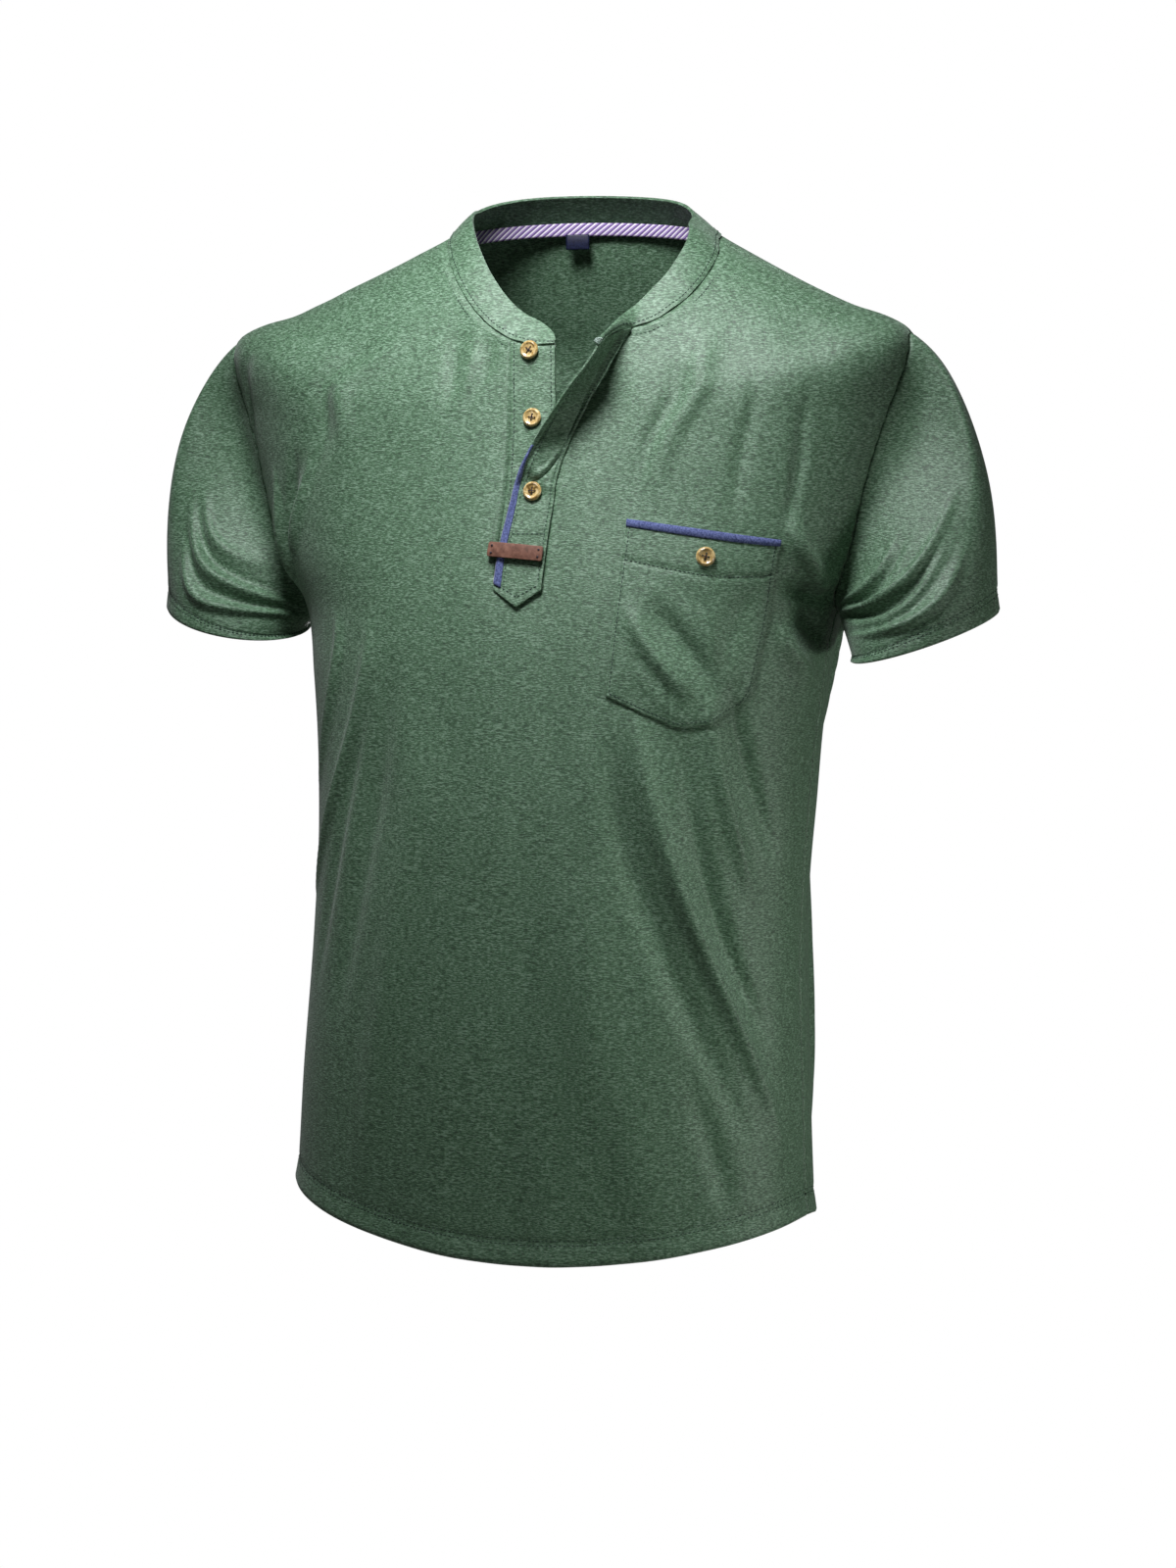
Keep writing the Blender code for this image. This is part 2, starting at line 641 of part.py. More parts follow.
def placket_middle(u, v):
    """u from the foot to the free edge, v from the pointed end to the neck."""
    row = {c: smooth(placket_table, "at", c, v) for c in placket_columns}
    point = (1 - abs(2 * u - 1)) * 0.0115 * max(0.0, 1 - v / 0.09)
    foot, way, x = slit_foot(row["foot_z"])
    foot = foot + way * placket_rise
    start, out = closed_spot(x, row["foot_z"])
    step = foot - start - out * placket_rise
    flat, out = closed_spot(x - row["across"] * u, row["foot_z"] - point)
    flat = flat + out * placket_rise + step * (1 - u)
    lifted = row["out"] / 0.034
    edge = foot + Vector((-row["across"], -row["out"], -row["down"]))
    bend = foot + Vector((-0.008, -0.002 - 0.008 * lifted, 0))
    curl = foot * (1 - u) ** 2 + bend * (2 * u * (1 - u)) + edge * u**2
    return flat.lerp(curl, ease(lifted / 0.14))


def piping_middle(u, v):
    """Blue strip on the placket's outer face along its free edge."""
    p = placket_middle(1.0 - 0.15 * (1 - u), 0.015 + 0.44 * v)
    q = placket_middle(0.5, 0.015 + 0.44 * v)
    edge = placket_middle(1.0, 0.015 + 0.44 * v)
    rise = placket_middle(1.0, 0.03 + 0.44 * v) - placket_middle(1.0, 0.44 * v)
    side = (q - edge).cross(rise).normalized()
    side = side if side.y < 0 else -side
    return p + side * (placket_wall / 2 + gap + 0.0006) + (edge - q).normalized() * 0.0008 * u


# ---------------------------------------------------------------- pocket
pocket_corners = {"top_left": (0.0722, -0.1925), "top_right": (0.1680, -0.2062),
                  "low_left": (0.0641, -0.3073), "low_right": (0.1515, -0.3015)}
pocket_foot = ((0.0, 0.0), (0.51, -0.0240), (0.72, -0.0234), (0.92, -0.0132), (1.0, 0.0))
pocket_wall = 0.0014


def pocket_spot(a, b):
    """x and z on the pocket: a across from its left, b down from the mouth."""
    c = pocket_corners
    top = [c["top_left"][k] * (1 - a) + c["top_right"][k] * a for k in (0, 1)]
    low = [c["low_left"][k] * (1 - a) + c["low_right"][k] * a for k in (0, 1)]
    for (a0, d0), (a1, d1) in zip(pocket_foot, pocket_foot[1:]):
        if a0 <= a <= a1:
            low[1] += d0 + (d1 - d0) * (a - a0) / (a1 - a0)
    return top[0] * (1 - b) + low[0] * b, top[1] * (1 - b) + low[1] * b


def pocket_middle(u, v):
    x, z = pocket_spot(u, 1 - v)
    belly = 0.0012 * sin(pi * u) * sin(pi * min(1.0, v * 1.05)) ** 0.8
    return on_front(x, z, gap + pocket_wall / 2 + 0.0002 + belly)


def pocket_piping_middle(u, v):
    a = pocket_spot(u, 0.0)
    b = pocket_spot(u, 0.040)
    x, z = a[0] + (b[0] - a[0]) * (1 - v), a[1] + (b[1] - a[1]) * (1 - v)
    return on_front(x, z + 0.0006, 2 * gap + pocket_wall + 0.0002 + 0.0006)


# ---------------------------------------------------------------- tape and label inside the back neck
def back_seam(angle):
    """Neck seam point behind, and the level way in from it."""
    angle = angle if angle <= 180 else angle - 360
    p = form(angle, 1.0)
    return p, Vector((0.0037 - p.x, -0.010 - p.y, 0)).normalized()


def tape_middle(u, v):
    p, inward = back_seam(100 + 160 * u)
    return p + inward * (0.0034 - 0.0006 * (1 - v)) + Vector((0, 0, 0.0004 - tape_height * (1 - v)))


def label_middle(u, v):
    x = -0.0255 + 0.0170 * (0.5 - u)
    p, inward = back_seam(180 - degrees_of((x - 0.0037) / 0.0943))
    return p + inward * (0.0046 + 0.0008 * (1 - v)) + Vector((0, 0, -0.0075 - 0.0105 * (1 - v)))


# ---------------------------------------------------------------- buttons and tab
def button(name, at, out, material):
    """Turned button: a domed rim round a dished middle, four thread holes."""
    profile = ((0.0, 0.0), (0.0040, 0.0), (button_radius, 0.0007), (button_radius, 0.0013),
               (0.0054, button_height), (0.0046, button_height), (0.0040, 0.0017), (0.0, 0.0016))
    bm = bmesh.new()
    dots = [bm.verts.new((x, 0, z)) for x, z in profile]
    for a, b in zip(dots, dots[1:]):
        bm.edges.new((a, b))
    mesh = bpy.data.meshes.new(name)
    bm.to_mesh(mesh)
    bm.free()
    o = bpy.data.objects.new(name, mesh)
    o.data.materials.append(material)
    shirt.objects.link(o)
    turned = o.modifiers.new("turned", "SCREW")
    turned.steps = turned.render_steps = 24
    turned.use_merge_vertices = True
    turned.merge_threshold = 1e-6
    turned.use_normal_calculate = True
    for n in range(4):
        bm = bmesh.new()
        bmesh.ops.create_cone(bm, cap_ends=True, segments=8, radius1=0.00075, radius2=0.00075, depth=0.006)
        hole_mesh = bpy.data.meshes.new(name + "_hole")
        bm.to_mesh(hole_mesh)
        bm.free()
        hole = bpy.data.objects.new(name + "_hole", hole_mesh)
        hole.location = (0.0015 * (1 if n % 2 else -1), 0.0015 * (1 if n < 2 else -1), 0.001)
        cut = o.modifiers.new("hole", "BOOLEAN")
        cut.object, cut.solver = hole, "EXACT"
        shirt.objects.link(hole)
        bpy.context.view_layer.update()
    settle(o)
    o.location = at
    o.rotation_mode = "QUATERNION"
    o.rotation_quaternion = out.to_track_quat("Z", "Y")
    return o


def settle(o):
    """Applies an object's modifiers and drops its cutters."""
    cutters = [m.object for m in o.modifiers if m.type == "BOOLEAN"]
    seen = o.evaluated_get(bpy.context.evaluated_depsgraph_get())
    mesh = bpy.data.meshes.new_from_object(seen)
    o.modifiers.clear()
    o.data = mesh
    for c in cutters:
        bpy.data.objects.remove(c, do_unlink=True)


def leather(name, at, out, tilt, material):
    """Flat tab with rounded corners and two holes near each end, laid over the placket."""
    curve = bpy.data.curves.new(name, "CURVE")
    curve.dimensions = "2D"
    curve.fill_mode = "BOTH"
    curve.extrude = 0.00075
    half_long, half_wide, corner = 0.0195, 0.0050, 0.0016
    outline = []
    for cx, cy, first in ((1, 1, 0), (-1, 1, 90), (-1, -1, 180), (1, -1, 270)):
        for step in range(4):
            a = radians(first + 30 * step)
            outline.append((cx * (half_long - corner) + corner * cos(a),
                            cy * (half_wide - corner) + corner * sin(a)))
    loops = [outline]
    for cx in (-0.0166, 0.0166):
        for cy in (-0.0024, 0.0024):
            loops.append([(cx + 0.0009 * cos(pi * n / 5), cy + 0.0009 * sin(pi * n / 5)) for n in range(10)])
    for points in loops:
        spline = curve.splines.new("POLY")
        spline.points.add(len(points) - 1)
        for point, (x, y) in zip(spline.points, points):
            point.co = (x, y, 0, 1)
        spline.use_cyclic_u = True
    o = bpy.data.objects.new(name, curve)
    o.data.materials.append(material)
    shirt.objects.link(o)
    o.location = at
    o.rotation_mode = "QUATERNION"
    o.rotation_quaternion = out.to_track_quat("Z", "Y") @ Quaternion((0, 0, 1), radians(tilt))
    return o


def facing(x, z):
    angle, t = front_at(x, z)
    return normal(angle, t)


# ---------------------------------------------------------------- build
clear_scene()
shirt = bpy.data.collections.new("pocket_tshirt")
bpy.context.scene.collection.children.link(shirt)

green = paint("heathered_jersey", (0.115, 0.190, 0.135), 0.9)
blue = paint("blue_jersey", (0.100, 0.125, 0.290), 0.85)
striped = paint("striped_tape", (0.560, 0.470, 0.640), 0.8)
navy = paint("navy_satin", (0.012, 0.018, 0.055), 0.5)
brown = paint("brown_leather", (0.180, 0.080, 0.045), 0.6)
horn = paint("horn_button", (0.420, 0.290, 0.110), 0.35)

cloth("front", front_columns, len(levels) - 1, front_place, green,
      leave_out=lambda i, j: side_columns <= i < side_columns + middle_columns and j >= slit_row)
cloth("back", back_columns, len(levels) - 1, back_place, green)
sleeve(sleeve_table[0], "sleeve_right", green)
sleeve(sleeve_table[1], "sleeve_left", green)
strip("collar", len(stations) - 1 + out_steps, 3, collar_middle, band_wall, green)
cloth("button_stand", 4, 14, stand_place, green)
strip("placket", 6, 36, placket_middle, placket_wall, green)
strip("placket_piping", 2, 22, piping_middle, 0.0010, blue)
strip("pocket", 20, 14, pocket_middle, pocket_wall, green)
strip("pocket_piping", 20, 2, pocket_piping_middle, 0.0012, blue)
strip("neck_tape", 26, 2, tape_middle, 0.0008, striped)
strip("size_label", 4, 3, label_middle, 0.0008, navy)

button_rows = (("button_1", -0.0022, -0.0800), ("button_2", 0.0028, -0.1250), ("button_3", 0.0052, -0.1740))
for name, x, z in button_rows:
    spot, out = closed_spot(x, z)
    if name == "button_3":
        spot = placket_middle(0.54, 0.300)
        run = placket_middle(0.42, 0.300) - placket_middle(0.66, 0.300)
        out = run.cross(placket_middle(0.54, 0.34) - placket_middle(0.54, 0.26)).normalized()
        spot = spot + out * (placket_wall / 2 + 0.0005)
    button(name, spot + out * gap, out, horn)
out = facing(0.1250, -0.2153)
button("pocket_button", on_front(0.1250, -0.2153, 0.0027), out, horn)
spot, out = closed_spot(-0.0010, -0.2140)
leather("leather_tab", spot + out * (placket_rise + placket_wall / 2 + 0.0025), out, -5.0, brown)
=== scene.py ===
import bpy
import bmesh
import numpy as np
from math import atan, cos, pi, radians, sin
from mathutils import Matrix, Vector


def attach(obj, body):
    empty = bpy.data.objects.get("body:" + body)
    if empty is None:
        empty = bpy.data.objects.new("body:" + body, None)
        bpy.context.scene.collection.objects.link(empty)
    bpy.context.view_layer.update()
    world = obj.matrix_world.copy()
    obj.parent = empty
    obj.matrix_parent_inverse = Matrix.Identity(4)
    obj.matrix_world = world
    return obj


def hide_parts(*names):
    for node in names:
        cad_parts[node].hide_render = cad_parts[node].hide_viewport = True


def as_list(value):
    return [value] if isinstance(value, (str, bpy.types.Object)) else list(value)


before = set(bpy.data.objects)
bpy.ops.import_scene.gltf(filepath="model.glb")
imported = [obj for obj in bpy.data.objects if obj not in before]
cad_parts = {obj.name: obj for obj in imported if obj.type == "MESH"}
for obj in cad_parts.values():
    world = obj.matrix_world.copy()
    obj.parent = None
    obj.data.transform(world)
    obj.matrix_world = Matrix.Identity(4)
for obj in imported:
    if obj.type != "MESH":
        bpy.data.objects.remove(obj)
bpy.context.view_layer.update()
print("frame loaded:", len(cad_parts), "nodes")

# the worn form, level by level (metres; level 0 is the hem, 1 the neck seam; angle 90 is the wearer's left)
shirt = {"wall": 0.0012, "seamGap": 0.0003, "slitHalf": 0.0168, "pitLevel": 0.680, "tipLevel": 0.900,
         "frontBite": 17.0, "backBite": 25.0, "bandHeight": 0.0228, "bandWall": 0.0020, "standWidth": 0.0318,
         "placketWall": 0.0013, "placketRise": 0.0014, "tapeHeight": 0.0092,
         "pullFoot": 0.170, "pullHeight": 0.093}      # how far down the pulled-open neck reaches
ringNames = ("level", "halfWidth", "frontY", "backY", "sideY", "middleX", "frontZ", "sideZ", "backZ",
             "fullness", "drop")
ringRows = np.array((
    (0.000, 0.1810, -0.1480, 0.0780, -0.0350, -0.0073, -0.6825, -0.6485, -0.6920, 0.045, 0.0085),   # hem
    (0.140, 0.1775, -0.1470, 0.0800, -0.0330, -0.0068, -0.5900, -0.5700, -0.5950, 0.045, 0.0055),
    (0.330, 0.1722, -0.1440, 0.0800, -0.0300, -0.0044, -0.4780, -0.4680, -0.4780, 0.045, 0.0025),   # waist
    (0.500, 0.1727, -0.1400, 0.0890, -0.0250, -0.0012, -0.3780, -0.3750, -0.3750, 0.045, 0.0),
    (0.620, 0.1804, -0.1340, 0.0980, -0.0180, -0.0008, -0.2950, -0.2950, -0.2920, 0.045, 0.0),      # chest
    (0.680, 0.1885, -0.1285, 0.1020, -0.0110, -0.0010, -0.2530, -0.2520, -0.2480, 0.040, 0.0),      # armpit
    (0.740, 0.2115, -0.1205, 0.1040, -0.0080, -0.0020, -0.2150, -0.2120, -0.2020, 0.030, 0.0),
    (0.800, 0.2260, -0.1125, 0.1040, -0.0080, -0.0030, -0.1800, -0.1640, -0.1530, 0.020, 0.0),
    (0.855, 0.2370, -0.1060, 0.0990, -0.0100, -0.0045, -0.1480, -0.1150, -0.1080, 0.010, 0.0),
    (0.900, 0.2425, -0.1010, 0.0920, -0.0120, -0.0060, -0.1220, -0.0670, -0.0740, 0.000, 0.0010),   # shoulder
    (0.940, 0.1940, -0.0980, 0.0820, -0.0080, -0.0020, -0.1040, -0.0468, -0.0450, 0.000, 0.0018),
    (0.975, 0.1440, -0.0950, 0.0730, -0.0040, 0.0020, -0.0890, -0.0238, -0.0150, 0.000, 0.0028),
    (1.000, 0.0943, -0.0930, 0.0660, 0.0000, 0.0037, -0.0770, 0.0000, 0.0143, 0.000, 0.0035)))      # neck seam
neckRows = np.array((      # the wearer's left of the neck seam lies pulled open: angle, x, y, z
    (10.4, 0.0690, -0.0800, -0.0645), (20.0, 0.0785, -0.0770, -0.0615), (30.0, 0.0880, -0.0705, -0.0550),
    (42.0, 0.0985, -0.0585, -0.0440), (54.0, 0.1045, -0.0450, -0.0320), (66.0, 0.1065, -0.0290, -0.0195),
    (78.0, 0.1035, -0.0130, -0.0100), (90.0, 0.0980, 0.0000, -0.0035)))
placketLine = np.array((   # z and x of the placket's centre line
    (-0.690, 0.0000), (-0.300, 0.0000), (-0.250, 0.0000), (-0.210, 0.0015), (-0.174, 0.0042),
    (-0.125, 0.0036), (-0.100, 0.0016), (-0.070, -0.0006)))


def smoothTable(keys, values, at):
    # Catmull-Rom curve through a table's rows
    at = np.clip(np.asarray(at, float), keys[0], keys[-1])
    k = np.clip(np.searchsorted(keys, at) - 1, 0, len(keys) - 2)

    def slope(n):
        low, high = np.maximum(n - 1, 0), np.minimum(n + 1, len(keys) - 1)
        return (values[high] - values[low]) / (keys[high] - keys[low])

    span = keys[k + 1] - keys[k]
    s = (at - keys[k]) / span
    return (values[k] * (2 * s**3 - 3 * s**2 + 1) + values[k + 1] * (3 * s**2 - 2 * s**3)
            + span * (slope(k) * (s**3 - 2 * s**2 + s) + slope(k + 1) * (s**3 - s**2)))


def lineX(z):
    # x of the placket's centre line at a height
    return smoothTable(placketLine[:, 0], placketLine[:, 1], z)


def ease(x):
    x = np.clip(x, 0.0, 1.0)
    return x * x * (3 - 2 * x)


def unit(v):
    return v / np.maximum(np.linalg.norm(v, axis=-1, keepdims=True), 1e-12)


def stack(x, y, z):
    return np.stack(np.broadcast_arrays(x, y, z), axis=-1)


fineLevels = np.linspace(0, 1, 1501)
fineRing = {name: smoothTable(ringRows[:, 0], ringRows[:, n + 1], fineLevels)
            for n, name in enumerate(ringNames[1:])}
slitMiddle = lineX(fineRing["frontZ"]) - fineRing["middleX"]
fineRing["slitRight"] = np.degrees(np.arcsin((slitMiddle - shirt["slitHalf"]) / fineRing["halfWidth"]))
fineRing["slitLeft"] = np.degrees(np.arcsin((slitMiddle + shirt["slitHalf"]) / fineRing["halfWidth"]))
pulled = np.maximum(0.0, (fineRing["frontZ"] + shirt["pullFoot"]) / shirt["pullHeight"])
fineRing["pull"] = np.minimum(pulled ** 1.5, 1.0)


def ring(t):
    return {name: np.interp(t, fineLevels, column) for name, column in fineRing.items()}


def closedForm(angle, t, r=None):
    # the worn shape with the neck opening closed
    r = r or ring(t)
    s, c = np.sin(np.radians(angle)), np.cos(np.radians(angle))
    full = 1 + r["fullness"] * (2 * s * c) ** 2
    depth = np.where(c > 0, r["sideY"] - r["frontY"], r["backY"] - r["sideY"])
    endZ = np.where(c > 0, r["frontZ"], r["backZ"])
    power = np.where((c > 0) | (np.asarray(t) < 0.9), 2.0, 2 - ease((np.asarray(t) - 0.9) / 0.1))
    rise = np.abs(c) ** power
    return stack(r["middleX"] + r["halfWidth"] * s * full, r["sideY"] - c * depth * full,
                 r["sideZ"] + (endZ - r["sideZ"]) * rise - r["drop"] * s)


openAt = np.linspace(neckRows[0, 0], 90, 321)
openMove = (np.stack([smoothTable(neckRows[:, 0], neckRows[:, n], openAt) for n in (1, 2, 3)], axis=-1)
            - closedForm(openAt, np.ones(321)))


def opened(angle, r):
    # how far the pulled-open neck moves the wearer's left front
    first = r["slitLeft"]
    share = np.clip((angle - first) / (90 - first), 0, 1)
    at = neckRows[0, 0] + share * (90 - neckRows[0, 0])
    move = np.stack([np.interp(at, openAt, openMove[:, n]) for n in range(3)], axis=-1)
    on = (angle >= first - 1e-3) & (angle < 90)
    return move * (np.where(on, r["pull"], 0.0))[..., None]


def form(angle, t):
    angle, t = np.broadcast_arrays(np.asarray(angle, float), np.asarray(t, float))
    r = ring(t)
    return closedForm(angle, t, r) + opened(angle, r)


def formNormal(angle, t, shape=form):
    angle, t = np.broadcast_arrays(np.asarray(angle, float), np.asarray(t, float))
    low, high = np.maximum(t - 0.004, 0.0), np.minimum(t + 0.004, 1.0)
    a0, a1 = angle - 0.6, angle + 0.6
    if shape is form:
        left = (angle > 0) & (angle < 90)
        a0 = np.where(left, np.maximum(a0, ring(t)["slitLeft"]), a0)
        a1 = np.where(left, np.maximum(a1, a0 + 3.0), a1)
    across = shape(a1, t) - shape(a0, t)
    up = shape(angle, high) - shape(angle, low)
    return unit(np.cross(across, up))


def levelAt(z, angle, near=0.8, tries=9, shape=form):
    # level of the point at a height, by Newton's steps
    z, angle = np.broadcast_arrays(np.asarray(z, float), np.asarray(angle, float))
    t = np.full(z.shape, near) if np.isscalar(near) else np.array(near)
    for _ in range(tries):
        step = np.where(t > 0.99, -0.002, 0.002)
        here = shape(angle, t)[..., 2]
        slope = (shape(angle, t + step)[..., 2] - here) / step
        t = np.clip(t + (z - here) / slope, 0.0, 1.0)
    return t


def frontAt(x, z):
    # angle and level of the front's point at x and z
    x, z = np.broadcast_arrays(np.asarray(x, float), np.asarray(z, float))
    angle = np.degrees(np.arcsin(np.clip(x / 0.19, -0.99, 0.99)))
    t = levelAt(z, angle)
    for _ in range(6):
        here = form(angle, t)[..., 0]
        run = form(angle + 0.5, t)[..., 0] - here
        angle = np.clip(angle - 0.5 * (here - x) / run, -86.0, 86.0)
        t = levelAt(z, angle, t, 2)
    return angle, t


def closedSpot(x, z):
    angle, t = np.zeros(np.broadcast(x, z).shape), 0.85
    for _ in range(3):
        t = levelAt(z, angle, t, 5, closedForm)
        r = ring(t)
        angle = np.degrees(np.arcsin(np.clip((x - r["middleX"]) / r["halfWidth"], -0.99, 0.99)))
    return closedForm(angle, t), formNormal(angle, t, closedForm)


# folds of the body: soft ridges (+) and troughs (-) through three (angle, z) points, then width and height
foldRows = (
    # front, wearer's right
    (-34.5, -0.265, -43.5, -0.344, -66.0, -0.442, 0.0050, 0.0034),
    (-46.0, -0.258, -49.5, -0.304, -64.0, -0.370, 0.0045, 0.0028),
    (-28.0, -0.290, -37.0, -0.408, -44.0, -0.520, 0.0110, -0.0034),
    (-20.5, -0.350, -27.5, -0.497, -33.0, -0.632, 0.0130, 0.0028),
    (-36.0, -0.300, -46.0, -0.390, -56.0, -0.500, 0.0070, -0.0024),
    (-59.0, -0.160, -62.5, -0.202, -71.5, -0.236, 0.0045, 0.0036),
    (-40.5, -0.132, -50.5, -0.185, -59.0, -0.216, 0.0050, 0.0032),
    (-48.0, -0.146, -56.0, -0.192, -66.0, -0.230, 0.0045, -0.0030),
    (-51.0, -0.036, -36.0, -0.089, -34.0, -0.145, 0.0090, 0.0022),
    (-47.0, -0.050, -38.0, -0.121, -56.5, -0.184, 0.0100, -0.0026),
    (-41.5, -0.041, -19.0, -0.080, -11.0, -0.122, 0.0028, 0.0024),
    (-51.0, -0.028, -27.0, -0.070, -11.5, -0.116, 0.0030, -0.0026),
    (-38.0, -0.046, -16.0, -0.078, -10.5, -0.108, 0.0026, -0.0020),
    (-62.0, -0.075, -69.0, -0.105, -73.0, -0.150, 0.0110, -0.0020),
    # front, wearer's left
    (27.5, -0.320, 41.5, -0.444, 72.0, -0.600, 0.0062, 0.0054),
    (23.0, -0.345, 34.5, -0.460, 57.5, -0.590, 0.0100, -0.0038),
    (39.0, -0.340, 48.5, -0.442, 66.0, -0.530, 0.0065, -0.0042),
    (43.5, -0.314, 50.0, -0.372, 60.0, -0.435, 0.0060, 0.0038),
    (49.0, -0.306, 57.0, -0.358, 68.0, -0.410, 0.0065, -0.0038),
    (23.5, -0.252, 31.0, -0.284, 38.0, -0.306, 0.0055, 0.0030),
    (29.0, -0.250, 37.0, -0.276, 43.0, -0.300, 0.0060, -0.0032),
    (42.0, -0.550, 49.0, -0.607, 53.0, -0.645, 0.0090, -0.0022),
    (52.5, -0.195, 60.0, -0.218, 73.0, -0.238, 0.0050, 0.0050),
    (55.5, -0.234, 65.0, -0.241, 80.0, -0.246, 0.0050, -0.0042),
    (66.0, -0.252, 74.0, -0.262, 84.0, -0.274, 0.0085, -0.0052),
    (60.0, -0.262, 68.0, -0.282, 80.0, -0.300, 0.0075, 0.0036),
    (40.0, -0.060, 27.0, -0.100, 24.0, -0.165, 0.0070, 0.0024),
    (23.5, -0.092, 20.5, -0.128, 21.0, -0.186, 0.0065, -0.0018),
    (36.0, -0.100, 38.0, -0.141, 39.0, -0.188, 0.0060, -0.0018),
    (47.5, -0.108, 51.0, -0.159, 50.5, -0.194, 0.0060, -0.0022),
    (18.0, -0.420, 22.0, -0.520, 32.0, -0.650, 0.0240, 0.0026),
    # back
    (110.0, -0.175, 121.0, -0.262, 130.0, -0.370, 0.0110, 0.0040),
    (103.0, -0.215, 113.0, -0.285, 120.0, -0.360, 0.0090, 0.0034),
    (-112.0, -0.180, -122.0, -0.265, -129.0, -0.375, 0.0110, 0.0040),
    (-104.0, -0.215, -112.0, -0.290, -117.0, -0.370, 0.0090, 0.0032),
    (142.0, -0.330, 151.0, -0.450, 146.0, -0.610, 0.0160, 0.0042),
    (-140.0, -0.350, -149.0, -0.470, -152.0, -0.630, 0.0170, 0.0045),
    (176.0, -0.300, 170.0, -0.450, 178.0, -0.640, 0.0220, -0.0036),
    (118.0, -0.420, 114.0, -0.520, 121.0, -0.630, 0.0120, 0.0038),
    (-116.0, -0.400, -112.0, -0.510, -118.0, -0.610, 0.0120, 0.0036),
    (160.0, -0.380, 163.0, -0.470, 158.0, -0.560, 0.0130, 0.0028),
    (-166.0, -0.330, -162.0, -0.430, -168.0, -0.540, 0.0140, 0.0028),
    (150.0, -0.060, 163.0, -0.095, 180.0, -0.105, 0.0150, -0.0020),
    (-150.0, -0.060, -163.0, -0.095, -179.0, -0.105, 0.0150, -0.0020),
    (98.0, -0.110, 106.0, -0.160, 112.0, -0.230, 0.0090, 0.0028),
    (-98.0, -0.110, -106.0, -0.160, -112.0, -0.230, 0.0090, 0.0028),
)
ripples = {"length": (0.150, 0.070), "height": (0.0012, 0.0005)}     # uneven slack between the folds
foldGain = {"body": 1.6, "sleeve": 1.2}      # how much of a fold table's height is laid on
foldSteps = 18


def foldHeight(u, z, rows, scale, turn=360.0):
    # height of a table of folds at u (degrees) and z, each a soft line through three points
    total = np.zeros(np.shape(u))
    s = np.linspace(0, 1, foldSteps + 1)
    for u0, z0, u1, z1, u2, z2, width, height in rows:
        lineU = u0 * (1 - s) ** 2 + 2 * s * (1 - s) * (2 * u1 - (u0 + u2) / 2) + u2 * s**2
        lineZ = z0 * (1 - s) ** 2 + 2 * s * (1 - s) * (2 * z1 - (z0 + z2) / 2) + z2 * s**2
        best = np.full(np.shape(u), 1e9)
        place = np.zeros(np.shape(u))
        for n in range(foldSteps):
            du, dz = (lineU[n + 1] - lineU[n]) * scale, lineZ[n + 1] - lineZ[n]
            pu = ((u - lineU[n] + turn / 2) % turn - turn / 2) * scale if turn else (u - lineU[n]) * scale
            pz = z - lineZ[n]
            k = np.clip((pu * du + pz * dz) / (du * du + dz * dz), 0, 1)
            d = (pu - k * du) ** 2 + (pz - k * dz) ** 2
            near = d < best
            best = np.where(near, d, best)
            place = np.where(near, (n + k) / foldSteps, place)
        taper = np.sin(pi * (0.04 + 0.92 * place)) ** 0.8
        total = total + height * taper * np.exp(-best / width**2)
    return total


def slack(p):
    # shallow uneven ripples, the same each run
    x, y, z = p[..., 0], p[..., 1], p[..., 2]
    total = 0.0
    for length, height in zip(ripples["length"], ripples["height"]):
        k = 2 * pi / length
        a = np.sin(k * (0.9 * x + 0.16 * z + 0.3 * y) + 1.6 * np.sin(k * 0.23 * z + 1.3))
        b = np.sin(k * (0.62 * y - 0.13 * z + 0.7 * x) + 1.7 * np.sin(k * 0.31 * x - 0.7))
        total = total + height * a * b
    return total


def bodyRelief(angle, t, p):
    wide = ring(t)["halfWidth"]
    soft = np.minimum(1.0, (1 - t) / 0.06)
    folds = foldGain["body"] * foldHeight(angle, p[..., 2], foldRows, radians(1) * wide)
    return soft * (folds + slack(p) * ease((1 - t) / 0.05))


def body(angle, t):
    # a point of the shirt's outer face
    angle, t = np.broadcast_arrays(np.asarray(angle, float), np.asarray(t, float))
    p = form(angle, t)
    return p + formNormal(angle, t) * bodyRelief(angle, t, p)[..., None]


print("form ready")

# cloth meshes: a grid made by an operator, then laid on its points, with a wall put on by Solidify
lengthPerUnit = 0.10      # a UV unit is 100 mm of cloth


def clothLengths(grid):
    # cloth length across and along a grid of points, in metres
    across = np.zeros(grid.shape[:2])
    along = np.zeros(grid.shape[:2])
    across[:, 1:] = np.cumsum(np.linalg.norm(np.diff(grid, axis=1), axis=2), axis=1)
    across -= across[:, [across.shape[1] // 2]]
    along[1:] = np.cumsum(np.linalg.norm(np.diff(grid, axis=0), axis=2), axis=0)
    return across, along


def meshOf(name, bm):
    mesh = bpy.data.meshes.new(name)
    bm.to_mesh(mesh)
    bm.free()
    return mesh


def addPiece(name, mesh, material, node=None):
    # one object at the origin, its material slot, and the CAD node that it dresses
    mesh.materials.clear()
    mesh.materials.append(material)
    piece = bpy.data.objects.new(name, mesh)
    bpy.context.scene.collection.objects.link(piece)
    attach(piece, "root")
    if node:
        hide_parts(node)
    return piece


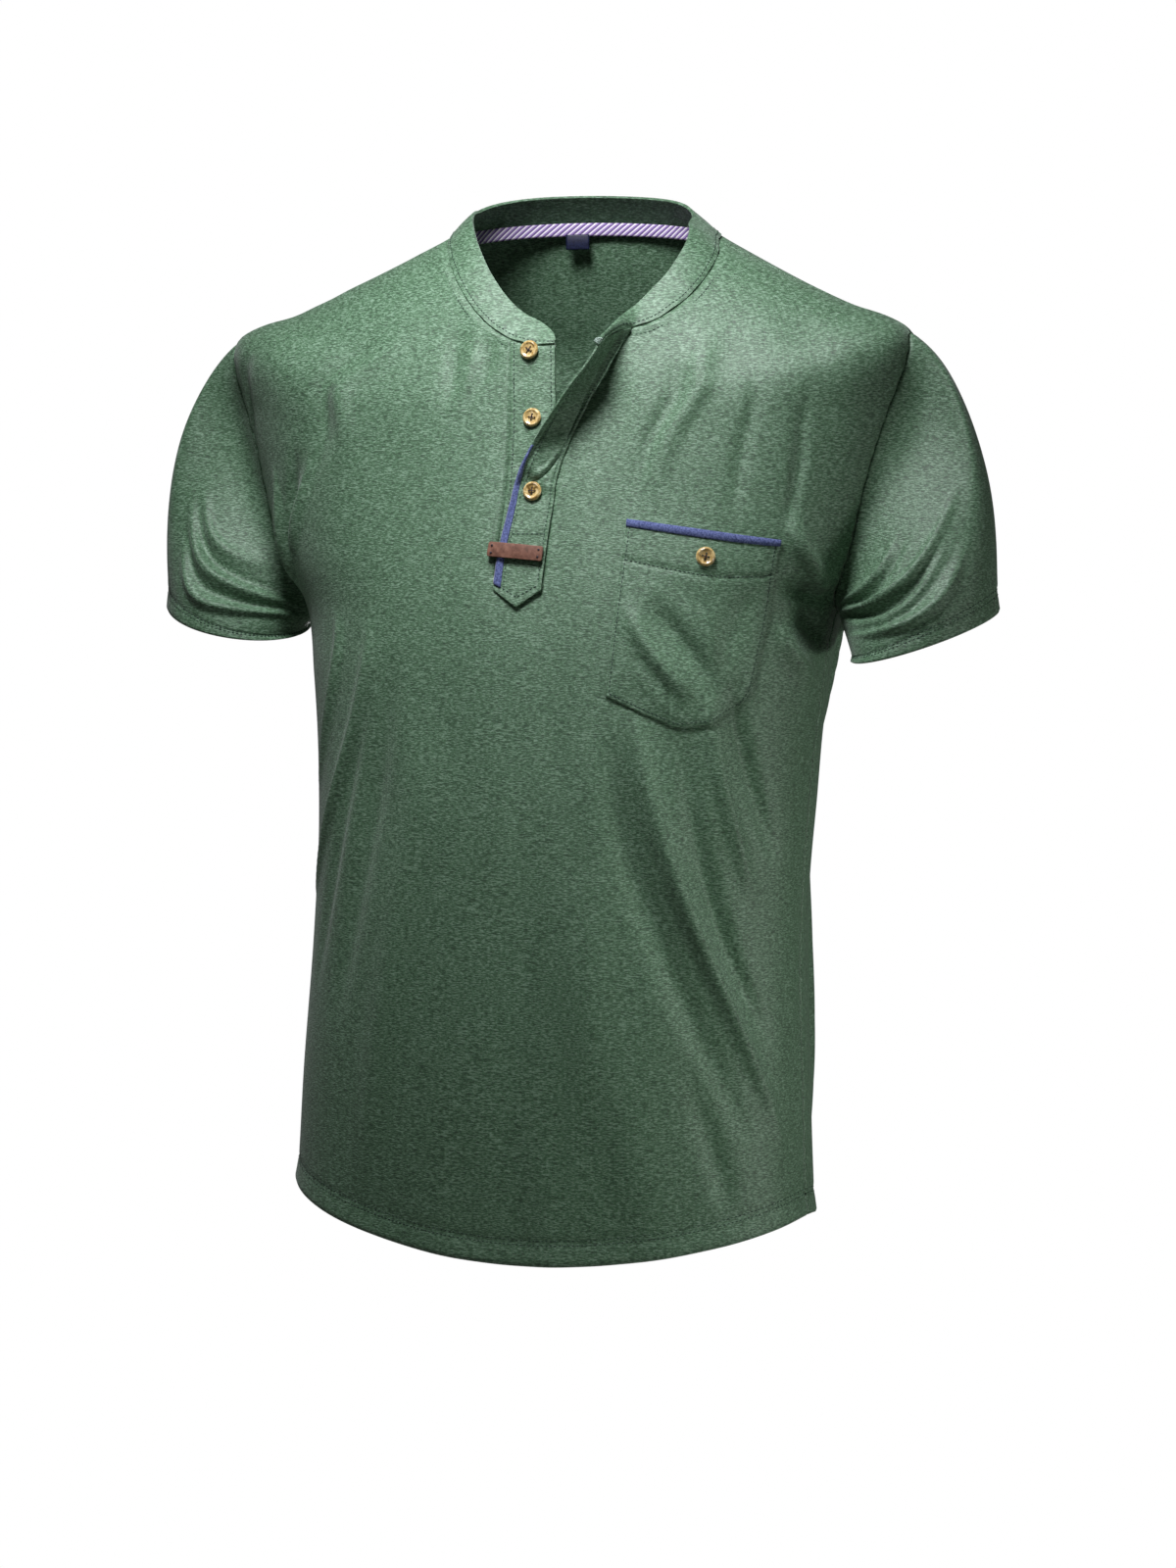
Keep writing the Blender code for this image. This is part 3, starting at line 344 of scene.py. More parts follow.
def clothPiece(name, node, slotName, grid, wall, outward, skip=None, tube=False, offset=-1):
    # grid is rows x columns x 3; outward gives the way out at a point
    # offset -1 puts the wall on inwards, 0 to both sides
    rows, columns = grid.shape[:2]
    bm = bmesh.new()
    bmesh.ops.create_grid(bm, x_segments=columns - 1, y_segments=rows - 1, size=0.5)
    bm.loops.layers.uv.new("cloth")
    mesh = meshOf(name, bm)
    flat = np.zeros(len(mesh.vertices) * 3)
    mesh.vertices.foreach_get("co", flat)
    flat = flat.reshape(-1, 3)
    i = np.rint((flat[:, 0] + 0.5) * (columns - 1)).astype(int)
    j = np.rint((flat[:, 1] + 0.5) * (rows - 1)).astype(int)
    mesh.vertices.foreach_set("co", grid[j, i].ravel())
    across, along = clothLengths(grid)
    loopVert = np.zeros(len(mesh.loops), dtype=np.int32)
    mesh.loops.foreach_get("vertex_index", loopVert)
    where = np.stack([across[j, i], along[j, i]], axis=1)[loopVert] / lengthPerUnit
    mesh.uv_layers["cloth"].data.foreach_set("uv", where.ravel())
    mesh.update()
    bm = bmesh.new()
    bm.from_mesh(mesh)
    bm.faces.ensure_lookup_table()
    if skip is not None:
        gone = [f for f in bm.faces
                if skip(min(i[v.index] for v in f.verts), min(j[v.index] for v in f.verts))]
        bmesh.ops.delete(bm, geom=gone, context="FACES")
    if tube:
        bmesh.ops.remove_doubles(bm, verts=bm.verts[:], dist=1e-5)
    bmesh.ops.recalc_face_normals(bm, faces=bm.faces[:])
    bm.faces.ensure_lookup_table()
    votes = sum((1 if f.normal.dot(outward(f.calc_center_median())) > 0 else -1)
                for f in list(bm.faces)[::max(1, len(bm.faces) // 400)])
    if votes < 0:
        bmesh.ops.reverse_faces(bm, faces=bm.faces[:])
    for f in bm.faces:
        f.smooth = True
    bm.to_mesh(mesh)
    bm.free()
    piece = addPiece(name, mesh, looks[slotName], node)
    shell = piece.modifiers.new("wall", "SOLIDIFY")
    shell.thickness, shell.offset, shell.use_even_offset = wall, offset, False
    return piece


def turnEdge(piece, width, segments):
    # the folded edge of a two-ply piece is round
    edge = piece.modifiers.new("turned edge", "BEVEL")
    edge.width, edge.segments, edge.profile, edge.limit_method = width, segments, 0.5, "ANGLE"


def unitGrid(columns, rows):
    # shares 0 to 1 across and along a grid
    return np.meshgrid(np.linspace(0, 1, columns), np.linspace(0, 1, rows))


def gridAt(grid, normals, i, j, lift):
    # point and normal between the rows and columns of a dressed piece
    i0 = np.minimum(i.astype(int), grid.shape[1] - 2)
    j0 = np.minimum(j.astype(int), grid.shape[0] - 2)
    a, b = (i - i0)[..., None], (j - j0)[..., None]

    def mix(g):
        return ((g[j0, i0] * (1 - a) + g[j0, i0 + 1] * a) * (1 - b)
                + (g[j0 + 1, i0] * (1 - a) + g[j0 + 1, i0 + 1] * a) * b)

    n = unit(mix(normals))
    return mix(grid) + n * lift, n


# sewing: each stitch is a short lens of thread, sunk half into the cloth
thread = {"pitch": 0.0030, "length": 0.0022, "radius": 0.00044, "lift": 0.00005}


def sewnRow(points, normals):
    # one row of stitches as its own mesh
    pitch, length, radius = thread["pitch"], thread["length"], thread["radius"]
    both = np.concatenate([points, normals], axis=1)
    run = np.concatenate([[0], np.cumsum(np.linalg.norm(np.diff(points, axis=0), axis=1))])
    count = max(2, int(run[-1] / pitch))
    at = (np.arange(count) + 0.5) * run[-1] / count
    spots = np.stack([np.interp(at, run, both[:, k]) for k in range(6)], axis=1)
    ahead = np.stack([np.interp(at + pitch * 0.4, run, both[:, k]) for k in range(3)], axis=1)
    behind = np.stack([np.interp(at - pitch * 0.4, run, both[:, k]) for k in range(3)], axis=1)
    bm = bmesh.new()
    for spot, a, b in zip(spots, ahead, behind):
        n = Vector(spot[3:]).normalized()
        x = Vector(a - b).normalized()
        y = n.cross(x).normalized()
        n = x.cross(y)
        place = Matrix((x, y, n)).transposed().to_4x4()
        place.translation = Vector(spot[:3]) + n * thread["lift"]
        place = place @ Matrix.Diagonal((length / 2, radius, radius * 0.9, 1))
        bmesh.ops.create_uvsphere(bm, u_segments=6, v_segments=4, radius=1.0, matrix=place)
    return meshOf("row", bm)


def sewing(name, rows, material):
    # all rows of one seam's thread in one piece
    bm = bmesh.new()
    for mesh in rows:
        bm.from_mesh(mesh)
        bpy.data.meshes.remove(mesh)
    for f in bm.faces:
        f.smooth = True
    return addPiece(name, meshOf(name, bm), material)


def bead(matrix, around=10, up=6):
    # a lens of thread: a strand, a knot or one wrap of a bartack
    bm = bmesh.new()
    bmesh.ops.create_uvsphere(bm, u_segments=around, v_segments=up, radius=1.0, matrix=matrix)
    return meshOf("bead", bm)


# materials
def linear(code):
    # sRGB hex to linear
    parts = [int(code[n:n + 2], 16) / 255 for n in (1, 3, 5)]
    return (*[c / 12.92 if c <= 0.04045 else ((c + 0.055) / 1.055) ** 2.4 for c in parts], 1.0)


def newMaterial(name):
    m = bpy.data.materials.new(name)
    m.use_nodes = True
    m.node_tree.nodes.clear()
    return m, m.node_tree


def addNode(tree, kind, settings=None, **links):
    # one node with its settings and what feeds its sockets: a name with _ for spaces, or i and the place
    node = tree.nodes.new("ShaderNode" + kind)
    for key, value in (settings or {}).items():
        setattr(node, key, value)
    for key, value in links.items():
        key = int(key[1:]) if key[0] == "i" and key[1:].isdigit() else key.replace("_", " ")
        socket = node.inputs[key]
        if isinstance(value, bpy.types.NodeSocket):
            tree.links.new(value, socket)
        else:
            socket.default_value = value
    return node


def ramp(tree, fac, stops):
    node = addNode(tree, "ValToRGB", Fac=fac)
    band = node.color_ramp
    while len(band.elements) < len(stops):
        band.elements.new(0.5)
    for element, (at, colour) in zip(band.elements, stops):
        element.position = at
        element.color = colour
    return node.outputs["Color"]


def principled(tree, **settings):
    shader = addNode(tree, "BsdfPrincipled", **settings)
    addNode(tree, "OutputMaterial", Surface=shader.outputs["BSDF"])


jersey = {"dark": "#234228", "body": "#436d48", "pale": "#7a9c80", "fleckMm": 3.0, "streak": 4.2,
          "patchScale": 190.0, "patchShare": 0.08, "waleMm": 1.5, "waleShare": 0.10, "bumpMm": 0.9,
          "roughness": 0.60, "gloss": 0.8, "sheen": 0.25, "sheenTint": "#e6efe8"}


def heatheredJersey(name):
    # single jersey of dyed and pale cotton fibres: matt, short pale and dark streaks along the courses
    m, tree = newMaterial(name)
    where = addNode(tree, "TexCoord")
    # streaks run level round the body: the pattern is squeezed along Z
    place = addNode(tree, "Mapping", Vector=where.outputs["Object"], Scale=(1.0, 1.0, jersey["streak"]))
    fleck = addNode(tree, "TexNoise", Vector=place.outputs["Vector"], Scale=1000 / jersey["fleckMm"],
                    Detail=2.0, Roughness=0.7)
    patch = addNode(tree, "TexNoise", Vector=place.outputs["Vector"], Scale=jersey["patchScale"], Detail=3.0,
                    Roughness=0.6)
    mixed = addNode(tree, "Mix", {"data_type": "FLOAT"}, i0=jersey["patchShare"], i2=fleck.outputs["Fac"],
                    i3=patch.outputs["Fac"])
    colour = ramp(tree, mixed.outputs[0], ((0.36, linear(jersey["dark"])), (0.50, linear(jersey["body"])),
                                           (0.64, linear(jersey["pale"]))))
    wale = addNode(tree, "TexWave", {"wave_type": "BANDS", "bands_direction": "X"},
                   Vector=addNode(tree, "UVMap", {"uv_map": "cloth"}).outputs["UV"],
                   Scale=lengthPerUnit * 1000 / jersey["waleMm"] / 20 * pi, Distortion=1.2, Detail=2.0,
                   Detail_Scale=3.0)
    height = addNode(tree, "Mix", {"data_type": "FLOAT"}, i0=jersey["waleShare"], i2=fleck.outputs["Fac"],
                     i3=wale.outputs["Fac"])
    bump = addNode(tree, "Bump", Strength=0.5, Distance=jersey["bumpMm"] / 1000, Height=height.outputs[0])
    principled(tree, Base_Color=colour, Roughness=jersey["roughness"], Normal=bump.outputs["Normal"],
               Sheen_Weight=jersey["sheen"], Sheen_Roughness=0.5, Sheen_Tint=linear(jersey["sheenTint"]),
               Specular_IOR_Level=jersey["gloss"])
    return m


def plainCloth(name, pale, dark, roughness=0.85, sheen=0.3, grainMm=0.7, bumpMm=0.3):
    # a fine even cloth: two close tones of thread
    m, tree = newMaterial(name)
    where = addNode(tree, "TexCoord")
    grain = addNode(tree, "TexNoise", Vector=where.outputs["Object"], Scale=1000 / grainMm / 1.6, Detail=3.0)
    colour = ramp(tree, grain.outputs["Fac"], ((0.36, linear(dark)), (0.64, linear(pale))))
    bump = addNode(tree, "Bump", Strength=0.4, Distance=bumpMm / 1000, Height=grain.outputs["Fac"])
    principled(tree, Base_Color=colour, Roughness=roughness, Normal=bump.outputs["Normal"], Sheen_Weight=sheen,
               Sheen_Roughness=0.4, Specular_IOR_Level=0.25)
    return m


def stripedTape(name, repeatMm=1.5, slant=-52):
    # woven tape: slanting stripes of lavender, white and dark violet thread
    m, tree = newMaterial(name)
    uv = addNode(tree, "UVMap", {"uv_map": "cloth"})
    turned = addNode(tree, "Mapping", Vector=uv.outputs["UV"], Rotation=(0, 0, radians(slant)))
    wave = addNode(tree, "TexWave", {"wave_type": "BANDS", "bands_direction": "X", "wave_profile": "SAW"},
                   Vector=turned.outputs["Vector"], Scale=lengthPerUnit * 1000 / repeatMm / 20 * pi,
                   Distortion=0.15, Detail=1.0, Detail_Scale=2.0)
    colour = ramp(tree, wave.outputs["Fac"], (
        (0.00, linear("#a48bc4")), (0.30, linear("#b39ccf")), (0.36, linear("#fdfbfe")),
        (0.64, linear("#f6f2f8")), (0.70, linear("#5a4580")), (0.97, linear("#6d5793"))))
    grain = addNode(tree, "TexNoise", Vector=uv.outputs["UV"], Scale=260.0, Detail=2.0)
    bump = addNode(tree, "Bump", Strength=0.4, Distance=0.0003, Height=grain.outputs["Fac"])
    principled(tree, Base_Color=colour, Roughness=0.7, Normal=bump.outputs["Normal"], Sheen_Weight=0.2,
               Specular_IOR_Level=0.3)
    return m


def brownLeather(name):
    # vegetable-tanned leather: fine pebbled grain, its tone mottled at random, a low wax sheen
    m, tree = newMaterial(name)
    where = addNode(tree, "TexCoord")
    pebble = addNode(tree, "TexVoronoi", Vector=where.outputs["Object"], Scale=1400.0)
    tone = addNode(tree, "TexNoise", Vector=where.outputs["Object"], Scale=260.0, Detail=4.0)
    colour = ramp(tree, tone.outputs["Fac"], ((0.30, linear("#54382a")), (0.55, linear("#755140")),
                                              (0.80, linear("#8f6b56"))))
    bump = addNode(tree, "Bump", Strength=0.35, Distance=0.0002, Height=pebble.outputs["Distance"])
    principled(tree, Base_Color=colour, Roughness=0.55, Normal=bump.outputs["Normal"], Specular_IOR_Level=0.4)
    return m


def hornButton(name):
    # moulded polyester in the look of horn: warm streaks from straw to brown under a polished face
    m, tree = newMaterial(name)
    where = addNode(tree, "TexCoord")
    streak = addNode(tree, "TexNoise", Vector=where.outputs["Object"], Scale=210.0, Detail=5.0, Roughness=0.6,
                     Distortion=1.6)
    colour = ramp(tree, streak.outputs["Fac"], ((0.28, linear("#4f3a1c")), (0.42, linear("#a08448")),
                                                (0.58, linear("#cfb87c")), (0.78, linear("#efe3b8"))))
    principled(tree, Base_Color=colour, Roughness=0.26, IOR=1.54, Coat_Weight=0.5, Coat_Roughness=0.12)
    return m


looks = {
    "heathered_jersey": heatheredJersey("heatheredJersey"),
    "blue_jersey": plainCloth("blueJersey", "#66739f", "#3c4770"),
    "striped_tape": stripedTape("stripedTape"),
    "navy_satin": plainCloth("navySatin", "#1c2440", "#0d1326", 0.42, 0.0, 0.6, 0.1)}
leatherHide = brownLeather("brownLeather")
hornFace = hornButton("hornButton")
sewn = {"roughness": 0.6, "sheen": 0.2, "grainMm": 0.5, "bumpMm": 0.1}      # every thread's sheen and grain
greenThread = plainCloth("greenThread", "#3c5545", "#23352a", **sewn)
blackThread = plainCloth("darkThread", "#3a3338", "#1c181c", **sewn)
paleThread = plainCloth("paleThread", "#4f6a59", "#2c4033", **sewn)
knotThread = plainCloth("knotThread", "#9db3a5", "#62796a", **sewn)
print("materials ready")

# front and back: one grid each, rows by level of the form, columns between the side seams
armMiddle = (shirt["pitLevel"] + shirt["tipLevel"]) / 2
armHalf = (shirt["tipLevel"] - shirt["pitLevel"]) / 2
armRows = 66
levels = np.concatenate([np.linspace(0, 0.075, 22)[:-1], np.linspace(0.075, shirt["pitLevel"], 128)[:-1],
                         armMiddle - armHalf * np.cos(pi * np.arange(armRows) / armRows),
                         np.linspace(shirt["tipLevel"], 1.0, 26)])
# grooves are width and depth; an edge is how far it turns in and over what height
hem = {"height": 0.0172, "needleGap": 0.0032, "fold": (0.0014, 0.0005), "needle": (0.0012, 0.00035),
       "flare": 0.0018, "flareShort": 0.002, "edge": 0.0010, "edgeReach": 0.0016,
       "pucker": 0.00035, "puckerLength": 0.011, "puckerReach": 0.008}
seam = {"groove": (0.0013, 0.0006), "pucker": 0.0004, "puckerLength": 0.014, "puckerReach": 0.010,
        "neckFold": 0.0058, "neckGroove": (0.0011, 0.0006), "neckSwellAt": 0.0030, "neckSwell": 0.0007,
        "neckSwellReach": 0.0022, "neckThread": 0.0055}
slitLevel = 0.7118      # level of the slit's foot


def bite(t, cut):
    s = np.clip((t - armMiddle) / armHalf, -1, 1)
    return cut * np.sqrt(1 - s * s)


def aboveHem(angle, t):
    # cloth height over the hem's edge, near the hem
    return np.linalg.norm(closedForm(angle, t) - closedForm(angle, 0.0), axis=-1)


def groove(d, width, depth):
    return -depth * np.exp(-(d / width) ** 2)


def seamRelief(angle, t, p):
    # hem fold, needle rows, side seams and the pull of the sewing, over the folds
    high = aboveHem(angle, t)
    wide = radians(1) * ring(t)["halfWidth"]
    run = angle * wide
    total = (groove(high - hem["height"], *hem["fold"])
             + groove(high - hem["height"] + hem["needleGap"], *hem["needle"]))
    belly = np.clip(1 - high / (hem["height"] - hem["flareShort"]), 0, 1)
    total = total + hem["flare"] * belly
    near = np.exp(-((high - hem["height"]) / hem["puckerReach"]) ** 2)
    pull = np.sin(2 * pi * (run + 0.35 * high) / hem["puckerLength"] + 1.6 * np.sin(run * 71))
    total = total + hem["pucker"] * near * pull * (0.6 + 0.4 * np.sin(run * 33 + 0.5))
    total = total - hem["edge"] * ease(1 - high / hem["edgeReach"])
    edge = np.where(np.abs(angle) <= 90, 90 - bite(t, shirt["frontBite"]), 90 + bite(t, shirt["backBite"]))
    fromSeam = (np.abs(angle) - edge) * wide
    total = total + groove(fromSeam, *seam["groove"])
    toNeck = np.linalg.norm(form(angle, np.maximum(t - 0.004, 0)) - p, axis=-1) / 0.004 * (1 - t)
    atNeck = (groove(toNeck - seam["neckFold"], *seam["neckGroove"])
              + seam["neckSwell"] * np.exp(-((toNeck - seam["neckSwellAt"]) / seam["neckSwellReach"]) ** 2))
    total = total + np.where(t > 0.9, atNeck, 0.0)
    rows = np.sin(p[..., 2] * 2 * pi / seam["puckerLength"] + 1.3 * np.sin(p[..., 2] * 90))
    offTip = (t < shirt["tipLevel"]) | (t > 0.93)
    return total + seam["pucker"] * rows * np.exp(-(fromSeam / seam["puckerReach"]) ** 2) * offTip


def panelPoint(angle, t):
    # a point of the front or back as dressed, seams and hem included
    p = form(angle, t)
    lift = bodyRelief(angle, t, p) + seamRelief(angle, t, p)
    return p + formNormal(angle, t) * lift[..., None]


sideColumns, middleColumns, backColumns = 66, 8, 118


def frontAngles():
    t = levels[:, None]
    edge = 90 - bite(t, shirt["frontBite"])
    r = ring(t)
    right, left = r["slitRight"], r["slitLeft"]
    n = np.arange(sideColumns + 1) / sideColumns
    m = np.arange(1, middleColumns) / middleColumns
    return np.concatenate([-edge + (edge + right) * n, right + (left - right) * m, left + (edge - left) * n],
                          axis=1)


def backAngles():
    edge = 90 + bite(levels[:, None], shirt["backBite"])
    turn = edge + (360 - 2 * edge) * np.arange(backColumns + 1) / backColumns
    return np.where(turn <= 180, turn, turn - 360)


def fromAxis(p):
    # outward for the body: away from its upright axis
    return Vector((p.x, p.y + 0.02, 0.15 * p.z + 0.05))


slitRow = int(np.searchsorted(levels, slitLevel))
frontTurn, backTurn = frontAngles(), backAngles()
frontGrid = panelPoint(frontTurn, np.repeat(levels[:, None], frontTurn.shape[1], axis=1))
backGrid = panelPoint(backTurn, np.repeat(levels[:, None], backTurn.shape[1], axis=1))
front = clothPiece("front_jersey", "front", "heathered_jersey", frontGrid, shirt["wall"], fromAxis,
                   skip=lambda i, j: sideColumns <= i < sideColumns + middleColumns and j >= slitRow)
back = clothPiece("back_jersey", "back", "heathered_jersey", backGrid, shirt["wall"], fromAxis)
print("front and back:", len(front.data.polygons), len(back.data.polygons), "faces")

# sleeves: each line runs from the armhole to the cuff; turn 0 is over the shoulder, 90 the front
sleeves = {
    "right": {"side": -1, "cuff": (-0.2515, -0.0120, -0.2580), "halfOut": 0.0490, "halfFront": 0.0605,
              "tiltOut": 15.0, "tiltFront": 11.0},
    "left": {"side": 1, "cuff": (0.2475, -0.0120, -0.2690), "halfOut": 0.0490, "halfFront": 0.0605,
             "tiltOut": 16.0, "tiltFront": 11.0}}
sleeveReach, sleeveLength = 0.16, 0.170      # metres of a whole line: for the fold table, and for the cuff
sleeveRadius, cuffRadius = 0.06, 0.055
sleeveSwell = 0.0105      # how far the top of a sleeve rounds out
sleeveFolds = {     # turn and metres down the sleeve, three points, width, height
    "left": (
        (152.0, 0.038, 96.0, 0.100, 43.0, 0.086, 0.0036, 0.0056),
        (150.0, 0.050, 100.0, 0.109, 56.0, 0.099, 0.0040, -0.0040),
        (146.0, 0.028, 110.0, 0.068, 88.0, 0.068, 0.0034, 0.0042),
        (140.0, 0.042, 108.0, 0.080, 80.0, 0.077, 0.0032, -0.0030),
        (132.0, 0.112, 78.0, 0.136, 38.0, 0.115, 0.0036, 0.0044),
        (140.0, 0.098, 90.0, 0.125, 50.0, 0.112, 0.0036, -0.0034),
        (215.0, 0.072, 250.0, 0.106, 300.0, 0.088, 0.0090, 0.0045),
        (205.0, 0.100, 240.0, 0.128, 285.0, 0.118, 0.0075, 0.0034),
        (220.0, 0.085, 250.0, 0.118, 290.0, 0.102, 0.0060, -0.0030)),
    "right": (
        (50.0, 0.088, 90.0, 0.104, 146.0, 0.048, 0.0042, 0.0046),
        (56.0, 0.076, 82.0, 0.084, 113.0, 0.043, 0.0036, 0.0038),
        (57.0, 0.112, 94.0, 0.129, 153.0, 0.074, 0.0042, 0.0042),
        (54.0, 0.084, 87.0, 0.094, 130.0, 0.048, 0.0036, -0.0036),
        (55.0, 0.100, 92.0, 0.116, 150.0, 0.062, 0.0040, -0.0036),
        (212.0, 0.072, 248.0, 0.109, 305.0, 0.093, 0.0090, 0.0045),
        (204.0, 0.104, 236.0, 0.130, 280.0, 0.122, 0.0075, 0.0034),
        (218.0, 0.088, 248.0, 0.120, 290.0, 0.106, 0.0060, -0.0030))}
cuff = {"height": 0.0130, "needleGap": 0.0032, "fold": (0.0013, 0.0005), "needle": (0.0011, 0.0003),
        "flare": 0.0016, "flareReach": 0.0115, "edge": 0.0008, "edgeReach": 0.0015,
        "pucker": 0.0003, "puckerLength": 0.010, "puckerReach": 0.007}


def armholeAt(side, turn):
    s, c = np.sin(np.radians(turn)), np.cos(np.radians(turn))
    t = armMiddle + armHalf * c
    cut = s * np.where(s > 0, shirt["frontBite"], shirt["backBite"])
    angle = side * (90 - cut)
    angle = np.where(angle > 180, angle - 360, np.where(angle < -180, angle + 360, angle))
    return angle, t


def sleeveLine(which, turn, s):
    r = sleeves[which]
    side = r["side"]
    out = np.array((side * cos(radians(r["tiltOut"])), 0, sin(radians(r["tiltOut"]))))
    ahead = np.array((0, -cos(radians(r["tiltFront"])), -sin(radians(r["tiltFront"]))))
    axis = np.cross(out, ahead)
    axis = unit(axis if axis[2] < 0 else -axis)
    c, sn = np.cos(np.radians(turn))[..., None], np.sin(np.radians(turn))[..., None]
    end = np.array(r["cuff"]) + out * (r["halfOut"] * c) + ahead * (r["halfFront"] * sn)
    start = body(*armholeAt(side, turn))
    n = formNormal(*armholeAt(side, turn))
    tangent = body(*armholeAt(side, turn + 2)) - body(*armholeAt(side, turn - 2))
    away = unit(np.cross(n, tangent))
    centre = np.array((side * 0.22, 0.0, -0.16))      # the middle of the armhole
    away = np.where(np.sum(away * (start - centre), axis=-1, keepdims=True) > 0, -away, away)
    over = np.maximum(0.0, c) ** 3
    leave = unit(away * (1 - over) + np.array((side * 0.86, 0, -0.51)) * over)
    under = ease((np.abs(180 - np.abs(180 - turn % 360)) - 35) / 95)[..., None]
    leave = unit(leave * (1 - under) + axis * under)
    reach = np.linalg.norm(end - start, axis=-1, keepdims=True)
    first = start + unit(leave * (1 - under) + n * under) * shirt["seamGap"] * 0.5
    s = s[..., None]
    swell = sleeveSwell * (1 + c) / 2 * np.sin(pi * s ** 1.7)
    line = (first * (2 * s**3 - 3 * s**2 + 1) + leave * reach * 0.85 * (s**3 - 2 * s**2 + s)
            + end * (3 * s**2 - 2 * s**3) + axis * reach * 1.05 * (s**3 - s**2)
            + np.array((side, 0, 0)) * swell)
    return line, n, under[..., 0]


def sleevePoint(which, turn, s):
    # point and normal of a sleeve as dressed, s from 0 at the armhole to 1 at the cuff
    turn, s = np.broadcast_arrays(np.asarray(turn, float), np.asarray(s, float))
    side = sleeves[which]["side"]
    p, ofBody, under = sleeveLine(which, turn, s)
    low, high = np.maximum(s - 0.02, 0.0), np.minimum(s + 0.02, 1.0)
    across = sleeveLine(which, turn + 3, s)[0] - sleeveLine(which, turn - 3, s)[0]
    down = sleeveLine(which, turn, high)[0] - sleeveLine(which, turn, low)[0]
    n = unit(np.cross(across, down)) * side
    share = ((1 - under) * (1 - ease(s / 0.12)))[..., None]
    n = unit(n * (1 - share) + ofBody * share)
    lift = foldGain["sleeve"] * foldHeight(turn, s * sleeveReach, sleeveFolds[which], radians(1) * sleeveRadius)
    lift = (lift + slack(p * 1.15)) * ease(s / 0.15) * ease((1 - s) / 0.10)
    above = (1 - s) * sleeveLength
    run = np.radians(turn) * cuffRadius
    lift = lift + groove(above - cuff["height"], *cuff["fold"])
    lift = lift + groove(above - cuff["height"] + cuff["needleGap"], *cuff["needle"])
    lift = lift + cuff["flare"] * np.clip(1 - above / cuff["flareReach"], 0, 1)
    near = np.exp(-((above - cuff["height"]) / cuff["puckerReach"]) ** 2)
    pull = np.sin(2 * pi * run / cuff["puckerLength"] + 1.4 * np.sin(run * 80))
    lift = lift + cuff["pucker"] * near * pull
    lift = (lift + groove(s * sleeveLength, *seam["groove"])
            - cuff["edge"] * ease(1 - above / cuff["edgeReach"]))
    return p + n * lift[..., None], n


sleeveAround, sleeveDown = 112, 66
turns = np.linspace(0, 360, sleeveAround + 1)
downs = np.concatenate([np.linspace(0, 0.86, sleeveDown - 15), np.linspace(0.86, 1.0, 17)[1:]])
sleevePieces = {}
for which in ("right", "left"):
    grid = sleevePoint(which, turns[None, :], downs[:, None])[0]
    middle = grid.mean(axis=1)
    sleevePieces[which] = clothPiece(
        "sleeve_%s_jersey" % which, "sleeve_" + which, "heathered_jersey", grid, shirt["wall"],
        lambda p, m=middle: p - Vector(m[int(np.argmin(np.abs(m[:, 2] - p.z)))]), tube=True)
print("sleeves ready")

# placket: its foot follows the slit's left edge, its free edge stands open towards the neck
placketRows = np.array((    # share from the point up: foot height, width across, out, down
    (0.0, -0.2385, 0.0335, 0.0000, 0.000), (0.1, -0.2150, 0.0325, 0.0000, 0.000),
    (0.2, -0.1900, 0.0305, 0.0000, 0.000), (0.3, -0.1740, 0.0285, 0.0010, 0.000),
    (0.4, -0.1590, 0.0255, 0.0050, 0.000), (0.5, -0.1440, 0.0225, 0.0100, 0.001),
    (0.6, -0.1320, 0.0195, 0.0160, 0.002), (0.7, -0.1190, 0.0155, 0.0225, 0.003),
    (0.8, -0.1040, 0.0125, 0.0280, 0.005), (0.9, -0.0840, 0.0105, 0.0325, 0.010),
    (1.0, -0.0668, 0.0108, 0.0340, 0.0125)))
placketShape = {"across": 30, "along": 130, "point": 0.0115, "pointShare": 0.09, "widestOpen": 0.034,
                "bend": 0.008, "needle": 0.0026, "rim": 0.0012, "turnedEdge": 0.0005}
creaseUnits, creaseWidth = 57.3, 0.03       # crease tables of the narrow strips: 57.3 units across 30 mm
placketCreases = (
    (50.0, 0.066, 36.0, 0.058, 14.0, 0.044, 0.0045, -0.0012),
    (52.0, 0.074, 34.0, 0.064, 8.0, 0.052, 0.0040, 0.0010),
    (9.0, 0.078, 18.0, 0.067, 32.0, 0.058, 0.0014, -0.0016),
    (13.0, 0.082, 22.0, 0.071, 38.0, 0.062, 0.0016, 0.0010))


def slitFoot(z):
    # point, normal and x where the placket's foot meets the slit's left edge
    t = np.full(np.shape(z), 0.8)
    for _ in range(4):
        angle = ring(t)["slitLeft"] + 0.3
        t = levelAt(z, angle, t, 2)
    p = form(angle, t)
    return p, formNormal(angle + 1.0, t), p[..., 0]


